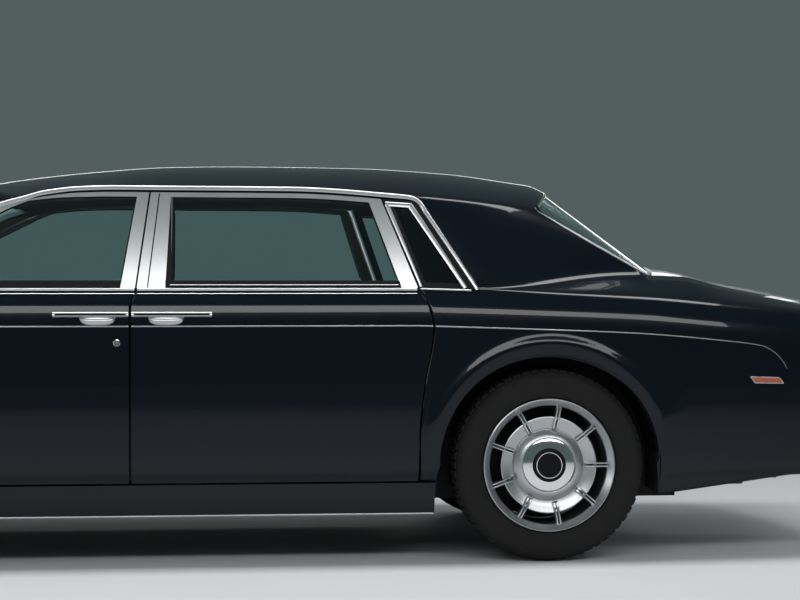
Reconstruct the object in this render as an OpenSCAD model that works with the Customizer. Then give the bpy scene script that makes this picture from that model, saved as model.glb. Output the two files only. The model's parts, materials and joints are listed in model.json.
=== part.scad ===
/* [Overall] */
// Distance between the two axles
wheelbase = 3820; // [3400:10:4000]
// Nose to front axle
front_overhang = 880; // [820:5:960]
// Rear axle to tail
rear_overhang = 1384; // [1330:5:1440]
// Width over the widest part of the sides
body_w = 1990; // [1940:2:2060]
// Height of the roof crown
roof_z = 1650; // [1620:2:1700]

/* [Side levels] */
// Underside of the sills
sill_z = 195; // [180:1:215]
// Lower edge of the doors
door_z = 334; // [325:1:345]
// Crease above the lower edge
low_crease_z = 398; // [385:1:410]
// Height of the widest part
bulge_z = 640; // [600:5:680]
// Bright coach line
coach_z = 963; // [940:1:980]
// Start of the rounded shoulder
shoulder_z = 1051; // [1040:1:1060]
// Top of the rounded shoulder
shoulder_top_z = 1089; // [1080:1:1098]
// Belt under the windows
belt_z = 1118; // [1110:1:1126]
// Top of the door frames at the centre pillar
frame_top_z = 1512; // [1500:1:1520]

/* [Side tucks] */
// Sills in from the widest part
sill_tuck = 95; // [80:1:105]
// Lower door edge in from the widest part
door_tuck = 45; // [38:1:52]
// Lower crease in from the widest part
low_crease_tuck = 10; // [7:1:14]
// Coach line in from the widest part
coach_tuck = 10; // [7:1:14]
// Shoulder start in from the widest part
shoulder_tuck = 27; // [22:1:32]
// Shoulder top in from the widest part
shoulder_top_tuck = 50; // [44:1:56]
// Belt in from the widest part
belt_tuck = 65; // [59:1:71]
// Top of the door frames in from the widest part
roof_tuck = 217; // [200:1:235]
// Half width lost at the nose
nose_taper = 120; // [100:1:140]
// Length over which the nose narrows
nose_taper_run = 1100; // [1000:10:1200]
// Half width lost at the tail
tail_taper = 150; // [120:1:170]
// Length over which the tail narrows
tail_taper_run = 1500; // [1400:10:1600]
// Drop of the shoulder line at the nose
nose_fall = 110; // [90:1:125]
// Drop of the shoulder line at the tail
tail_fall = 140; // [120:1:155]

/* [Doors] */
// Front edge of the front door, behind the front axle
front_door_x = 956; // [940:1:970]
// Foot of the gap between the doors, behind the front axle
door_split_x = 2122; // [2100:1:2150]
// Rear edge of the rear door at the belt, behind the front axle
rear_door_x = 3282; // [3260:1:3300]
// Backward bulge of the rear door's rear edge at the coach line
rear_door_bulge = 58; // [45:1:65]
// Backward lean of the gap between the doors up to the belt
split_lean = 20; // [16:1:26]
// Backward lean of the centre pillar from belt to roof
pillar_lean = 62; // [45:1:70]
// Whole thickness of a door below the belt
door_t = 110; // [95:1:120]
// Thickness of a window frame
frame_t = 45; // [38:1:50]
// Width of the front door's rear frame at the belt
frame_w = 58; // [52:1:64]
// Width of the rear door's rear frame at the belt
rear_frame_w = 67; // [60:1:72]
// Width of the rear door's front frame at the belt
centre_frame_w = 138; // [128:1:144]
// Width of the front frame along the sloped pillar
slope_frame_w = 74; // [66:1:80]
// Width of the frame's top rail
frame_top_w = 22; // [20:1:28]
// Height of the strip under the glass
sash_h = 22; // [18:1:26]
// Rear edge of the quarter window at the belt, behind the front axle
quarter_back_x = 3520; // [3500:1:3540]
// Rear edge of the quarter window at the roof, behind the front axle
quarter_head_x = 3290; // [3275:1:3305]
// Backward lean of the rear door's frame from belt to roof
rear_frame_lean = 150; // [135:1:160]
// Length of a door handle
handle_len = 300; // [270:5:320]
// Gap round each moving panel
panel_gap = 7; // [6:0.5:8]
// Inward slant of the door edges
edge_slant = 18; // [14:1:22]
// Gap between fixed pieces
seam = 0.4; // [0.3:0.1:0.6]

/* [Walls and glass] */
// Thickness of the wings and quarters
wall_t = 45; // [38:1:50]
// Thickness of the roof with its lining
roof_t = 45; // [38:1:50]
// Thickness of the glass
glass_t = 6; // [5:0.5:8]
// Glass set back from the face of its frame
glass_set = 12; // [8:1:16]
// Radius of the wheel arches
arch_r = 456; // [445:1:465]

/* [Windscreen and roof] */
// Windscreen pillar top, behind the front axle
pillar_top_x = 1742; // [1720:1:1760]
// Height of the windscreen pillar top
pillar_top_z = 1487; // [1475:1:1500]
// Width of the windscreen pillar along the car
pillar_w = 78; // [70:1:85]
// Width of the windscreen pillar across the car
pillar_in = 46; // [40:1:52]
// Forward bow of the windscreen at its foot
screen_bow = 150; // [120:1:180]
// Forward bow of the windscreen at the roof
header_bow = 250; // [220:1:270]
// Rise of the header from pillar to middle
header_rise = 52; // [44:1:60]
// Rear corner of the roof, behind the front axle
roof_back_x = 3806; // [3780:1:3830]
// Height of the roof's rear corner
roof_back_z = 1452; // [1435:1:1465]
// Half width of the roof's rear corner
roof_back_half = 655; // [640:1:670]
// Backward bow of the roof's rear edge
roof_back_bow = 130; // [110:1:145]
// Rise of the roof's rear edge from corner to middle
roof_back_rise = 90; // [75:1:100]
// Foot of the rear window, behind the front axle
rear_foot_x = 4284; // [4265:1:4300]
// Half width of the rear window's foot
rear_foot_half = 705; // [690:1:720]
// Backward bow of the rear window's foot
rear_foot_bow = 96; // [85:1:110]

/* [Bonnet and boot] */
// Half width of the bonnet at its rear edge
bonnet_back_half = 830; // [810:1:845]
// Half width of the bonnet at the grille
bonnet_nose_half = 560; // [540:1:580]
// Length of the bonnet along its middle
bonnet_len = 1500; // [1470:1:1520]
// Rear corner of the bonnet, behind the front axle
bonnet_back_x = 745; // [735:1:755]
// Forward bow of the bonnet's rear edge
bonnet_bow = 50; // [40:1:60]
// Crown of the bonnet over its edges
bonnet_crown = 42; // [34:1:50]
// Thickness of the bonnet
bonnet_t = 40; // [34:1:46]
// Half width of the boot lid at its front edge
boot_front_half = 690; // [675:1:700]
// Half width of the boot lid at the tail
boot_tail_half = 600; // [580:1:615]
// Height of the boot lid's edge at its front
boot_z = 1168; // [1158:1:1178]
// Drop of the boot lid's edge to the tail
boot_fall = 150; // [138:1:162]
// Crown of the boot lid over its edges
boot_crown = 34; // [28:1:40]
// Lower edge of the boot lid on the tail
boot_low_z = 660; // [645:1:675]
// Thickness of the boot lid
boot_t = 40; // [34:1:46]

/* [Nose and tail] */
// Half width of the grille
grille_half = 390; // [370:1:405]
// Lower edge of the grille
grille_z = 470; // [460:1:485]
// Top of the grille
grille_top_z = 1046; // [1030:1:1056]
// Depth of the grille
grille_t = 60; // [50:1:70]
// Width of the grille's frame
grille_frame_w = 34; // [28:1:40]
// Number of grille bars
grille_bars = 22; // [16:1:26]
// Thickness of a grille bar
grille_bar_t = 10; // [8:0.5:12]
// Backward sweep of the nose at its corners
nose_sweep = 120; // [100:1:140]
// Top of the front bumper
bumper_z = 700; // [680:1:715]
// Underside of the bumpers
bumper_low_z = 262; // [250:1:275]
// Depth of the bumpers
bumper_t = 70; // [60:1:80]
// Lower edge of the headlamps
lamp_z = 770; // [755:1:785]
// Top of the headlamps
lamp_top_z = 930; // [915:1:945]
// Inner edge of the headlamps
lamp_in = 480; // [465:1:495]
// Outer edge of the headlamps
lamp_out = 790; // [770:1:800]
// Lower edge of the tail lamps
tail_lamp_z = 706; // [700:1:715]
// Top of the tail lamps
tail_lamp_top_z = 960; // [950:1:975]
// Width of the panel beside the tail lamps
lamp_margin = 24; // [20:1:30]

/* [Wheels] */
// Radius of the tyres
tyre_r = 394; // [385:1:400]
// Width of the tyres
tyre_w = 265; // [250:1:275]
// Radius of the rims
rim_r = 271; // [264:1:276]
// Middle of the tyres from the car's middle
half_track = 836; // [830:1:845]
// Number of wheel spokes
spokes = 9; // [5:1:12]
// Width of a spoke
spoke_w = 32; // [26:1:38]
// Radius of the stub axles
stub_r = 30; // [26:1:34]
// Running clearance of bearings
run_gap = 0.4; // [0.3:0.1:0.6]
// Radius of the steering pins
king_r = 16; // [14:1:20]
// Steering pins in from the middle of the tyres
king_in = 76; // [66:1:86]

/* [Hidden] */
$fn = 48;

// Door handles: out from the skin, and in from the door's edge
handle_out = 14;
handle_inset = 4;
handle_low_share = 0.45;
handle_high_share = 0.68;
// Door mirrors: place behind the door's edge, arm and housing
mirror_back = 120;
mirror_arm_r = 12;
mirror_out = 60;
mirror_w = 150;
mirror_d = 90;
mirror_h = 150;
// Narrowing of the rear frames towards the roof
frame_taper = 12;
// Widths of the quarter window's frame, and the ledge under the rear pillar
quarter_front_w = 34;
quarter_back_w = 46;
ledge_w = 8;
// Windscreen pillar: start above the belt, thickness, dip of the glass at its foot, and its gap
pillar_foot = 14;
pillar_t = 34;
screen_dip = 30;
screen_gap = 12;
// Scuttle below the bonnet's rear edge, and its thickness
scuttle_drop = 62;
scuttle_t = 20;
// Edge of the roof, its drip moulding and the bow of the rear pillar
roof_edge_t = 12;
drip_h = 21;
rear_pillar_bow = 10;
// Hinge pins of the lids, and the boot lid's hinge brackets
pin_r = 8;
pin_len = 40;
bonnet_hinge_in = 40;
boot_hinge_back = 118;
boot_hinge_up = 16;
boot_hinge_y = 200;
boot_pin_r = 6;
boot_pin_len = 20;
bracket_w = 14;
bracket_t = 16;
bracket_in = 22;
bracket_play = 5;
slot_gap = 3;
// Boot lid: gap to the rear window, rounding at the tail, and the sweep of the tail
boot_gap = 12;
boot_tail_in = 60;
lid_draw = 14;
tail_sweep = 110;
tail_low_z = 339;
behind_wheel_z = 265;
// Nose behind the grille's face, top of the panel beside it, and tuck of the bumpers
nose_in = 30;
nose_top_z = 1060;
bumper_tuck = 30;
// Side markers on the tail
marker_back = 522;
marker_len = 125;
marker_h = 38;
marker_z = 742;
marker_out = 6;
// Bars of the grille behind its face
grille_bar_in = 12;
// Sills, centre posts, floor and rails
sill_end = 12;
seat_in = 10;
floor_half = 780;
floor_up = 20;
floor_t = 30;
post_w = 120;
post_t = 40;
post_gap = 0.5;
bulkhead_gap = 64;
bulkhead_half = 700;
bulkhead_top = 1030;
cabin_end = 20;
boot_half_in = 640;
shelf_z = 1050;
shelf_len = 900;
rail_y = 390;
rail_w = 70;
rail_h = 100;
rail_in = 120;
// Arch liners
liner_front_in = 480;
liner_rear_in = 650;
liner_t = 5;
liner_trim = 7;
liner_tab_w = 40;
// Rims
rim_half = 118;
rim_lip = 12;
rim_wall = 10;
plate_r = 192;
plate_z = 92;
plate_t = 14;
ring_r = 146;
ring_w = 38;
ring_h = 12;
cap_r = 106;
cap_h = 18;
spoke_t = 22;
spoke_up = 8;
disc_r = 185;
disc_t = 26;
// Steering knuckles, stub axles and suspension
knuckle_h = 300;
knuckle_r = 40;
stub_out = 72;
arm_gap = 6;
arm_t = 28;
arm_w = 70;
arm_in = 480;
beam_w = 100;
beam_h = 70;
beam_z = 250;
carrier_in = 196;
carrier_t = 130;
// Engine block
engine_len = 1050;
engine_w = 640;
engine_h = 620;
engine_ahead = 540;
// Exhaust pipes
exhaust_back = 1250;
exhaust_len = 1350;
exhaust_y = 420;
exhaust_z = 285;
pipe_r = 26;
silencer_r = 62;
silencer_in = 20;
silencer_len = 240;
hanger_w = 30;
hanger_in = 150;
// Towing eyes: lug, bore and places
eye_w = 56;
eye_t = 20;
eye_r = 14;
eye_back_x = 2760;
eye_back_y = 300;
eye_back_h = 180;
eye_front_x = 2720;
// Dashboard and steering wheel
dash_d = 300;
dash_low = 700;
dash_top = 1010;
dash_half = 760;
dash_foot_share = 0.75;
dash_roll_share = 0.4;
dash_lip_share = 0.9;
driver_y = 400;
steer_x = 400;
steer_z = 930;
steer_r = 190;
steer_rim = 15;
steer_tilt = 65;
column_len = 75;
// Seats
seat_half = 270;
bench_half = 690;
cushion_len = 500;
cushion_h = 330;
back_t = 140;
back_lean = 110;
back_h = 850;
cushion_edge_share = 0.8;
cushion_crown_share = 0.1;
back_head_share = 0.2;
front_seat_back = 620;
rear_seat_ahead = 780;

half_w = body_w / 2;
nose_x = -(wheelbase + front_overhang + rear_overhang) / 2;
tail_x = -nose_x;
front_axle = nose_x + front_overhang;
rear_axle = front_axle + wheelbase;
wheel_z = tyre_r;
door_front = front_axle + front_door_x;
split = front_axle + door_split_x;
door_back = front_axle + rear_door_x;
header_x = front_axle + pillar_top_x;
roof_back = front_axle + roof_back_x;
rear_foot = front_axle + rear_foot_x;
bonnet_back = front_axle + bonnet_back_x;
bonnet_nose = bonnet_back - bonnet_bow - bonnet_len;
over = wall_t;
king_y = half_track - king_in;
stub_end = half_track + stub_out;
carrier_y = half_track - carrier_in;
// Drop of the upper lines along the tail and the nose, as shares of length and drop
tail_fall_shares = [[0, 0], [0.23, 0.1], [0.46, 0.23], [0.68, 0.48], [0.83, 0.68], [1, 1]];
nose_fall_shares = [[0, 0], [0.27, 0.09], [0.6, 0.32], [0.87, 0.73], [1, 1]];
drip_top = frame_top_z + drip_h;
bonnet_hinge_z = belt_z - falls(bonnet_back) - bonnet_t / 2;
boot_hinge_x = rear_foot + boot_hinge_back;
boot_hinge_z = boot_z + boot_hinge_up;
quarter_back = front_axle + quarter_back_x;
quarter_head = front_axle + quarter_head_x;
boot_front = rear_foot;
nose_face = nose_x + nose_in;
wing_nose = nose_face + nose_sweep;
tail_corner = tail_x - tail_sweep;
floor_front = door_front - bulkhead_gap - floor_t;
floor_back = rear_axle - arch_r - cabin_end;
boot_floor_z = wheel_z + 2 * stub_r + seam;
rail_z = beam_z + beam_h + seam;
seat_z = sill_z + floor_up + floor_t + seam;

// Section of the sides: height against half width
side = [[sill_z, half_w - sill_tuck], [door_z, half_w - door_tuck], [low_crease_z, half_w - low_crease_tuck],
        [bulge_z, half_w], [coach_z, half_w - coach_tuck], [shoulder_z, half_w - shoulder_tuck],
        [shoulder_top_z, half_w - shoulder_top_tuck], [belt_z, half_w - belt_tuck],
        [frame_top_z, half_w - roof_tuck]];
function mix(a, b, t) = a + (b - a) * t;
function clamp(t) = max(0, min(1, t));
function ease(t) = t * t * (3 - 2 * t);
function falls(x) =
    x > door_back ? tail_fall * lookup((x - door_back) / (tail_x - door_back), tail_fall_shares)
    : x < door_front ? nose_fall * lookup((door_front - x) / (door_front - nose_x), nose_fall_shares) : 0;
function side_half(x, z) = lookup(z, side)
    - nose_taper * pow(clamp(1 - (x - nose_x) / nose_taper_run), 2)
    - tail_taper * pow(clamp(1 - (tail_x - x) / tail_taper_run), 2);
// Point of the left side at a level, moved out of the skin
function skin(x, z, out = 0) =
    [x, -side_half(x, z) - out, z - falls(x) * clamp((z - bulge_z) / (coach_z - bulge_z))];
function grid(rows, cols, f) = [for (r = [0 : rows]) [for (c = [0 : cols]) f(r, c)]];
function flat(rows) = [for (row = rows) each row];
function span(a, b, n) = [for (i = [0 : n]) mix(a, b, i / n)];

// Closed panel between two grids of points, without the cells in skip
module shell(outer, inner, skip = []) {
    rows = len(outer) - 1;
    cols = len(outer[0]) - 1;
    n = cols + 1;
    back = n * (rows + 1);
    function kept(r, c) = r >= 0 && r < rows && c >= 0 && c < cols && len([for (k = skip) if (k == [r, c])
        1]) == 0;
    function wall(a, b) = [[a, b, back + b], [a, back + b, back + a]];
    polyhedron(
        concat(flat(outer), flat(inner)),
        [for (r = [0 : rows - 1], c = [0 : cols - 1]) if (kept(r, c))
            let (p = r * n + c, q = p + 1, s = p + n, t = s + 1)
            each concat(
                [[p, s, t], [p, t, q], [back + p, back + t, back + s], [back + p, back + q, back + t]],
                kept(r - 1, c) ? [] : wall(p, q),
                kept(r, c + 1) ? [] : wall(q, t),
                kept(r + 1, c) ? [] : wall(t, s),
                kept(r, c - 1) ? [] : wall(s, p))]);
}
module both() {
    children();
    mirror([0, 1, 0]) children();
}

// Edges of the doors: place along the car at a height
function door_front_edge(z) = z <= belt_z ? door_front : lookup(z, slope);
function frame_share(z) = (z - belt_z) / (frame_top_z - belt_z);
function split_edge(z) = split + (z <= belt_z ? split_lean * (z - door_z) / (belt_z - door_z)
    : split_lean + pillar_lean * frame_share(z));
slope_shares = [[0, 0], [0.47, 0.4], [0.77, 0.7], [0.89, 0.82], [1, 1]];
slope = [for (p = slope_shares) [mix(belt_z, pillar_top_z, p[0]), mix(door_front, header_x, p[1])]];
pillar_base_z = belt_z + pillar_foot;
pillar_head_z = pillar_top_z - roof_edge_t - seam;
pillar_steps = concat([0], [for (p = slope) if (p[0] > pillar_base_z && p[0] < pillar_head_z)
    (p[0] - pillar_base_z) / (pillar_head_z - pillar_base_z)], [1]);
rear_edge_shares = [[0, 0], [0.22, 0], [0.5, 0.35], [0.803, 1], [0.88, 0.78], [0.925, 0.62], [1, 0]];
rear_edge = [for (p = rear_edge_shares) [mix(door_z, belt_z, p[0]), door_back + rear_door_bulge * p[1]]];
function rear_door_edge(z) = z <= belt_z ? lookup(z, rear_edge)
    : door_back - rear_frame_lean * frame_share(z);
levels = [door_z, low_crease_z, (low_crease_z + bulge_z) / 2, bulge_z, (bulge_z + coach_z) / 2, coach_z,
          shoulder_z, shoulder_top_z, belt_z];
top = len(levels) - 1;
function row_z(i, low) = levels[i] >= coach_z ? levels[i]
    : mix(low, coach_z, (levels[i] - door_z) / (coach_z - door_z));
// Share of the wall by which the inner face of the shoulder drops
drop_shares = [0, 0, 0, 0, 0, 0, 0.2, 0.6, 1, 1];

// Lower part of a door on the left, between two edges given by height
module door_panel(front, back) {
    cols = 6;
    outer = grid(top, cols, function (r, c) skin(mix(front(levels[r]), back(levels[r]), c / cols),
        levels[r]));
    function slant(c) = c == 0 ? edge_slant : c == cols ? -edge_slant : 0;
    inner = [for (row = outer) [for (c = [0 : cols]) row[c] + [slant(c), door_t, 0]]];
    shell(outer, inner);
}
// Points of a window frame or its glass: columns and rows follow the frame's edges
function frame_point(front, back, front_w, back_w, r, c) =
    let (head = function (x) drip_z(x) - roof_edge_t - panel_gap,
         places = function (x0, x1, z) concat([x0], span(x0 + front_w(z), x1 - back_w(z), 5), [x1]),
         z0 = belt_z + sash_h,
         heights = function (z1) concat([belt_z + seam], span(z0, z1 - frame_top_w, 3), [z1]),
         x_front = front(head(front(pillar_top_z))), x_back = back(head(back(frame_top_z))),
         z = function (k) heights(head(places(x_front, x_back, frame_top_z)[k]))[r])
    skin(places(front(z(0)), back(z(7)), z(7))[c], z(c));
module window_frame(front, back, front_w, back_w) {
    outer = grid(5, 7, function (r, c) frame_point(front, back, front_w, back_w, r, c));
    function slant(c) = c == 0 ? edge_slant : c == 7 ? -edge_slant : 0;
    inner = [for (row = outer) [for (c = [0 : 7]) row[c] + [slant(c), frame_t, 0]]];
    shell(outer, inner, [for (r = [1 : 3], c = [1 : 5]) [r, c]]);
}
module window_glass(front, back, front_w, back_w) {
    outer = [for (r = [1 : 4]) [for (c = [1 : 6]) frame_point(front, back, front_w, back_w, r, c)
        + [c == 1 ? 3 * seam : c == 6 ? -seam : 0, glass_set, r == 1 ? seam : r == 4 ? -seam : 0]]];
    shell(outer, [for (row = outer) [for (p = row) p + [0, glass_t, 0]]]);
}
// Outside handle on the left skin between two places along the car
module handle(x0, x1) {
    z0 = mix(coach_z, shoulder_z, handle_low_share);
    z1 = mix(coach_z, shoulder_z, handle_high_share);
    face = grid(1, 4, function (r, c) skin(mix(x0, x1, c / 4), r == 0 ? z0 : z1, handle_out));
    shell(face, [for (row = face) [for (p = row) p + [0, handle_out - seam, 0]]]);
}
front_door_front = function (z) door_front_edge(z);
front_door_back = function (z) split_edge(z) - panel_gap;
rear_door_front = function (z) split_edge(z);
rear_door_back = function (z) rear_door_edge(z);
slope_w = function (z) slope_frame_w;
front_back_w = function (z) frame_w - frame_taper * frame_share(z);
centre_w = function (z) centre_frame_w - pillar_lean * frame_share(z);
rear_back_w = function (z) rear_frame_w - frame_taper * frame_share(z);

module front_door_panel() color("#14171c") door_panel(front_door_front, front_door_back);
module rear_door_panel() color("#14171c") door_panel(rear_door_front, rear_door_back);
module front_door_brightwork() color("#c9ccd0") {
    window_frame(front_door_front, front_door_back, slope_w, front_back_w);
    handle(split - panel_gap - handle_inset - handle_len, split - panel_gap - handle_inset);
    door_mirror();
}
module rear_door_brightwork() color("#c9ccd0") {
    window_frame(rear_door_front, rear_door_back, centre_w, rear_back_w);
    handle(split + handle_inset, split + handle_inset + handle_len);
}
module front_door_glass() color("#4a5a60", 0.5)
    window_glass(front_door_front, front_door_back, slope_w, front_back_w);
module rear_door_glass() color("#4a5a60", 0.5)
    window_glass(rear_door_front, rear_door_back, centre_w, rear_back_w);
// Mirror on a short arm at the front corner of the window
module door_mirror() {
    p = skin(door_front + mirror_back, belt_z + sash_h / 2);
    translate([p[0], p[1] - seam, p[2] + mirror_arm_r]) rotate([90, 0, 0]) cylinder(r = mirror_arm_r,
        h = mirror_out);
    translate([p[0], p[1] - seam - mirror_out, p[2] + mirror_h / 2]) rotate([90, 0, 0])
        linear_extrude(mirror_w)
        hull() for (x = [-1, 1], z = [-1, 1])
            translate([x * (mirror_d / 2 - mirror_arm_r), z * (mirror_h / 2 - mirror_arm_r)])
                circle(mirror_arm_r);
}

// Bonnet and boot outlines: half width and edge height along the car
function bonnet_half(x) = mix(bonnet_nose_half, bonnet_back_half, (x - bonnet_nose)
    / (bonnet_back - bonnet_nose));
function bonnet_edge_z(x) = skin(x, belt_z)[2];
boot_fall_shares = [[0, 0], [0.15, 0.02], [0.35, 0.3], [0.6, 0.58], [0.8, 0.83], [0.93, 1], [1, 1.12]];
function boot_share(x) = clamp((x - rear_foot) / (tail_x - rear_foot));
function boot_half(x) = mix(boot_front_half, boot_tail_half, boot_share(x));
function boot_edge_z(x) = boot_z - boot_fall * lookup(boot_share(x), boot_fall_shares);

// Columns of a panel over a wheel arch: place and lower edge, front to back
arch_dip = asin((wheel_z - door_z) / arch_r);
arch_first = 15;
function arch_columns(axle, last) =
    [for (a = concat([180 + arch_dip], span(180 - arch_first, arch_first, 6), [last]))
        [axle + arch_r * cos(a), wheel_z + arch_r * sin(a)]];
// Left side panel with a rounded top edge: columns give place and lower edge
module side_panel(columns, first, crest) {
    cols = len(columns) - 1;
    outer = concat(
        [for (r = [0 : top]) [for (c = [0 : cols])
            let (z = row_z(r, columns[c][1])) skin(c == 0 ? first(z) : columns[c][0], z)]],
        [[for (c = [0 : cols]) crest(c == 0 ? first(belt_z) : columns[c][0])]]);
    inner = [for (r = [0 : top + 1]) [for (c = [0 : cols])
        outer[r][c] + [0, r > top ? 0 : wall_t, -wall_t * drop_shares[r]]]];
    shell(outer, inner);
}
// Share of the way from a wheel arch to the end of the car
function end_share(x, arch, end) = clamp((x - arch) / (end - arch));
function wing_crest(x) = let (p = x - nose_reach * end_share(x, front_axle - arch_r, wing_nose))
    [p, -bonnet_half(p) - panel_gap, bonnet_edge_z(p)];
function quarter_crest(x) = let (t = ease(clamp((x - quarter_back) / (boot_front - quarter_back))),
        p = x + tail_reach * end_share(x, rear_axle + arch_r, tail_corner))
    [p, -mix(side_half(x, belt_z) - ledge_w, boot_half(p) + panel_gap, t),
     mix(skin(x, belt_z)[2] + ledge_w / 4, boot_edge_z(p), t)];
module front_wings() color("#14171c") both() {
    side_panel(concat([[wing_nose, door_z], [(wing_nose + front_axle - arch_r) / 2, door_z]],
                      arch_columns(front_axle, -arch_dip), [[door_front - panel_gap, door_z]]),
               function (z) wing_nose, function (x) wing_crest(x));
    nose_panel();
    bonnet_pin(pin_r, pin_len);
}
// Front face beside the grille, round the headlamp
nose_reach = nose_sweep * (1 - pow(bonnet_nose_half / nose_edge(belt_z), 2));
tail_reach = tail_sweep * (1 - pow(boot_tail_half / tail_edge(coach_z), 2));
function nose_edge(z) = side_half(wing_nose, z) - wall_t - seam;
function nose_point(y, z) = [nose_face + nose_sweep * pow(y / nose_edge(z), 2), -y, skin(wing_nose, z)[2]];
module nose_panel() {
    zs = [bumper_z + seam, lamp_z, lamp_top_z, nose_top_z];
    outer = grid(3, 3, function (r, c)
        nose_point([grille_half + seam, lamp_in, lamp_out, nose_edge(zs[r])][c], zs[r]));
    shell(outer, [for (row = outer) [for (p = row) p + [wall_t, 0, 0]]], [[1, 1]]);
}
module headlamps() color("#dfe5ea") both() {
    ys = [lamp_in + seam, lamp_out - seam];
    zs = [lamp_z + seam, lamp_top_z - seam];
    outer = grid(1, 3, function (r, c) nose_point(mix(ys[0], ys[1], c / 3), zs[r]));
    shell(outer, [for (row = outer) [for (p = row) p + [wall_t, 0, 0]]]);
}
tail_steps = [0.015, 0.25, 0.5, 0.65, 0.8, 1];
tail_rise_share = 0.7;
quarter_columns = concat([[door_back, door_z]], arch_columns(rear_axle, 0),
    [for (t = tail_steps) [mix(rear_axle + arch_r, tail_corner, t), mix(behind_wheel_z, tail_low_z,
        clamp(t / tail_rise_share))]]);
// Top edge of the quarter as it is built, straight between its columns
function quarter_line(x) = [x, lookup(x, [for (c = quarter_columns) [c[0], quarter_crest(c[0])[1]]]),
                            lookup(x, [for (c = quarter_columns) [c[0], quarter_crest(c[0])[2]]])];
module rear_quarters() color("#14171c") both() {
    side_panel(quarter_columns, function (z) rear_door_edge(z) + panel_gap, function (x) quarter_crest(x));
    rear_pillar();
    tail_panel();
}
// Tail face beside the boot lid, round the tail lamp
lamp_inner = boot_half(tail_corner) + panel_gap;
function tail_ys(z) = [tail_edge(z), tail_edge(z) - lamp_margin, lamp_inner + lamp_margin, lamp_inner];
module tail_panel() {
    zs = [boot_low_z - panel_gap + seam, tail_lamp_z, tail_lamp_top_z, belt_z];
    corner = skin(tail_corner, belt_z);
    crest = quarter_crest(tail_corner);
    outer = grid(3, 3, function (r, c)
        let (y = tail_ys(zs[r])[c], p = tail_point(-y, zs[r]))
        r < 3 ? p : [p[0], p[1], lookup(-y, [[corner[1] + wall_t, corner[2]], [crest[1], crest[2]]])
            - wall_t - seam]);
    shell(outer, [for (row = outer) [for (p = row) p - [wall_t, 0, 0]]], [[1, 1]]);
}
// Broad rear pillar between the quarter window and the rear window
module rear_pillar() {
    xs = concat([quarter_back], [for (c = quarter_columns) if (c[0] > quarter_back && c[0] < rear_foot)
        c[0]], [rear_foot]);
    rows = 5;
    cols = len(xs) - 1;
    us = [for (x = xs) (x - quarter_back) / (rear_foot - quarter_back)];
    outer = grid(rows, cols, function (r, c)
        let (v = r / rows, u = us[c],
             foot = quarter_line(xs[c]) + [0, 0, seam],
             head = roof_edge(mix(quarter_head, roof_back, u)) - [0, 0, roof_edge_t + 2 * seam],
             lean = mix(foot, head, v))
        lean - [0, rear_pillar_bow * 16 * v * (1 - v) * u * (1 - u), 0]);
    inner = grid(rows, cols, function (r, c)
        outer[r][c] + wall_t * [-pow(us[c], 2), 1 - pow(us[c], 2), 0]);
    shell(outer, inner);
}
// Roof skin and lining, rows across the car from left to right
drip_shares = [[0, 0], [0.14, 0.6], [0.25, 1], [0.5, 0.95], [0.75, 0.2], [1, -0.8]];
roof_front = screen_edge(1)[0];
quarter_top_z = drip_z(quarter_head) - roof_edge_t - seam;
function drip_z(x) = pillar_top_z + (drip_top - pillar_top_z)
    * lookup((x - header_x) / (roof_back - header_x), drip_shares);
// Left edge of the roof at a place along the car
function roof_edge(x) =
    [x, -mix(side_half(0, drip_z(x)), roof_back_half, pow(clamp((x - quarter_head)
        / (roof_back - quarter_head)), 2)),
     drip_z(x)];
crown_shares = [[0.08, 0.58], [0.2, 0.83], [0.32, 0.97], [0.44, 1], [0.66, 0.97], [0.83, 0.78], [0.94, 0.53]];
crown = concat([[0, pillar_top_z + header_rise]],
               [for (p = crown_shares) [p[0], mix(pillar_top_z, roof_z, p[1])]],
               [[1, roof_back_z + roof_back_rise]]);
function roof_point(u, w) = let (edge = roof_edge(mix(roof_front, roof_back, u)),
        bow = u < 0.5 ? -header_bow * pow(1 - 2 * u, 2) : roof_back_bow * pow(2 * u - 1, 2))
    [edge[0] + bow * (1 - w * w), -edge[1] * w, mix(edge[2], lookup(u, crown), 1 - w * w)];
module roof() color("#14171c") {
    rows = 10;
    cols = 14;
    outer = grid(rows, cols, function (r, c) roof_point(c / cols, -1 + 2 * r / rows));
    thick = function (r, c) r == 0 || r == rows || c == 0 || c == cols ? roof_edge_t : roof_t;
    shell(outer, grid(rows, cols, function (r, c) outer[r][c] - [0, 0, thick(r, c)]));
}
// Windscreen pillar's front edge, which the glass follows
function screen_edge(v) = let (z = mix(pillar_base_z, pillar_head_z, v))
    [lookup(z, slope) - panel_gap - pillar_w, -side_half(0, z) + pillar_in, z];
module bright_pillars() color("#c9ccd0") both() {
    front_pillar();
    quarter_frame();
}
module front_pillar() {
    outer = grid(len(pillar_steps) - 1, 1, function (r, c)
        let (e = screen_edge(pillar_steps[r]))
        c == 0 ? e + [seam, 0, 0] : [e[0] + pillar_w, e[1] - pillar_in, e[2]]);
    shell(outer, [for (row = outer) [row[0] + [pillar_t, 0, 0], row[1] + [0, pillar_t, 0]]]);
}
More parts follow.
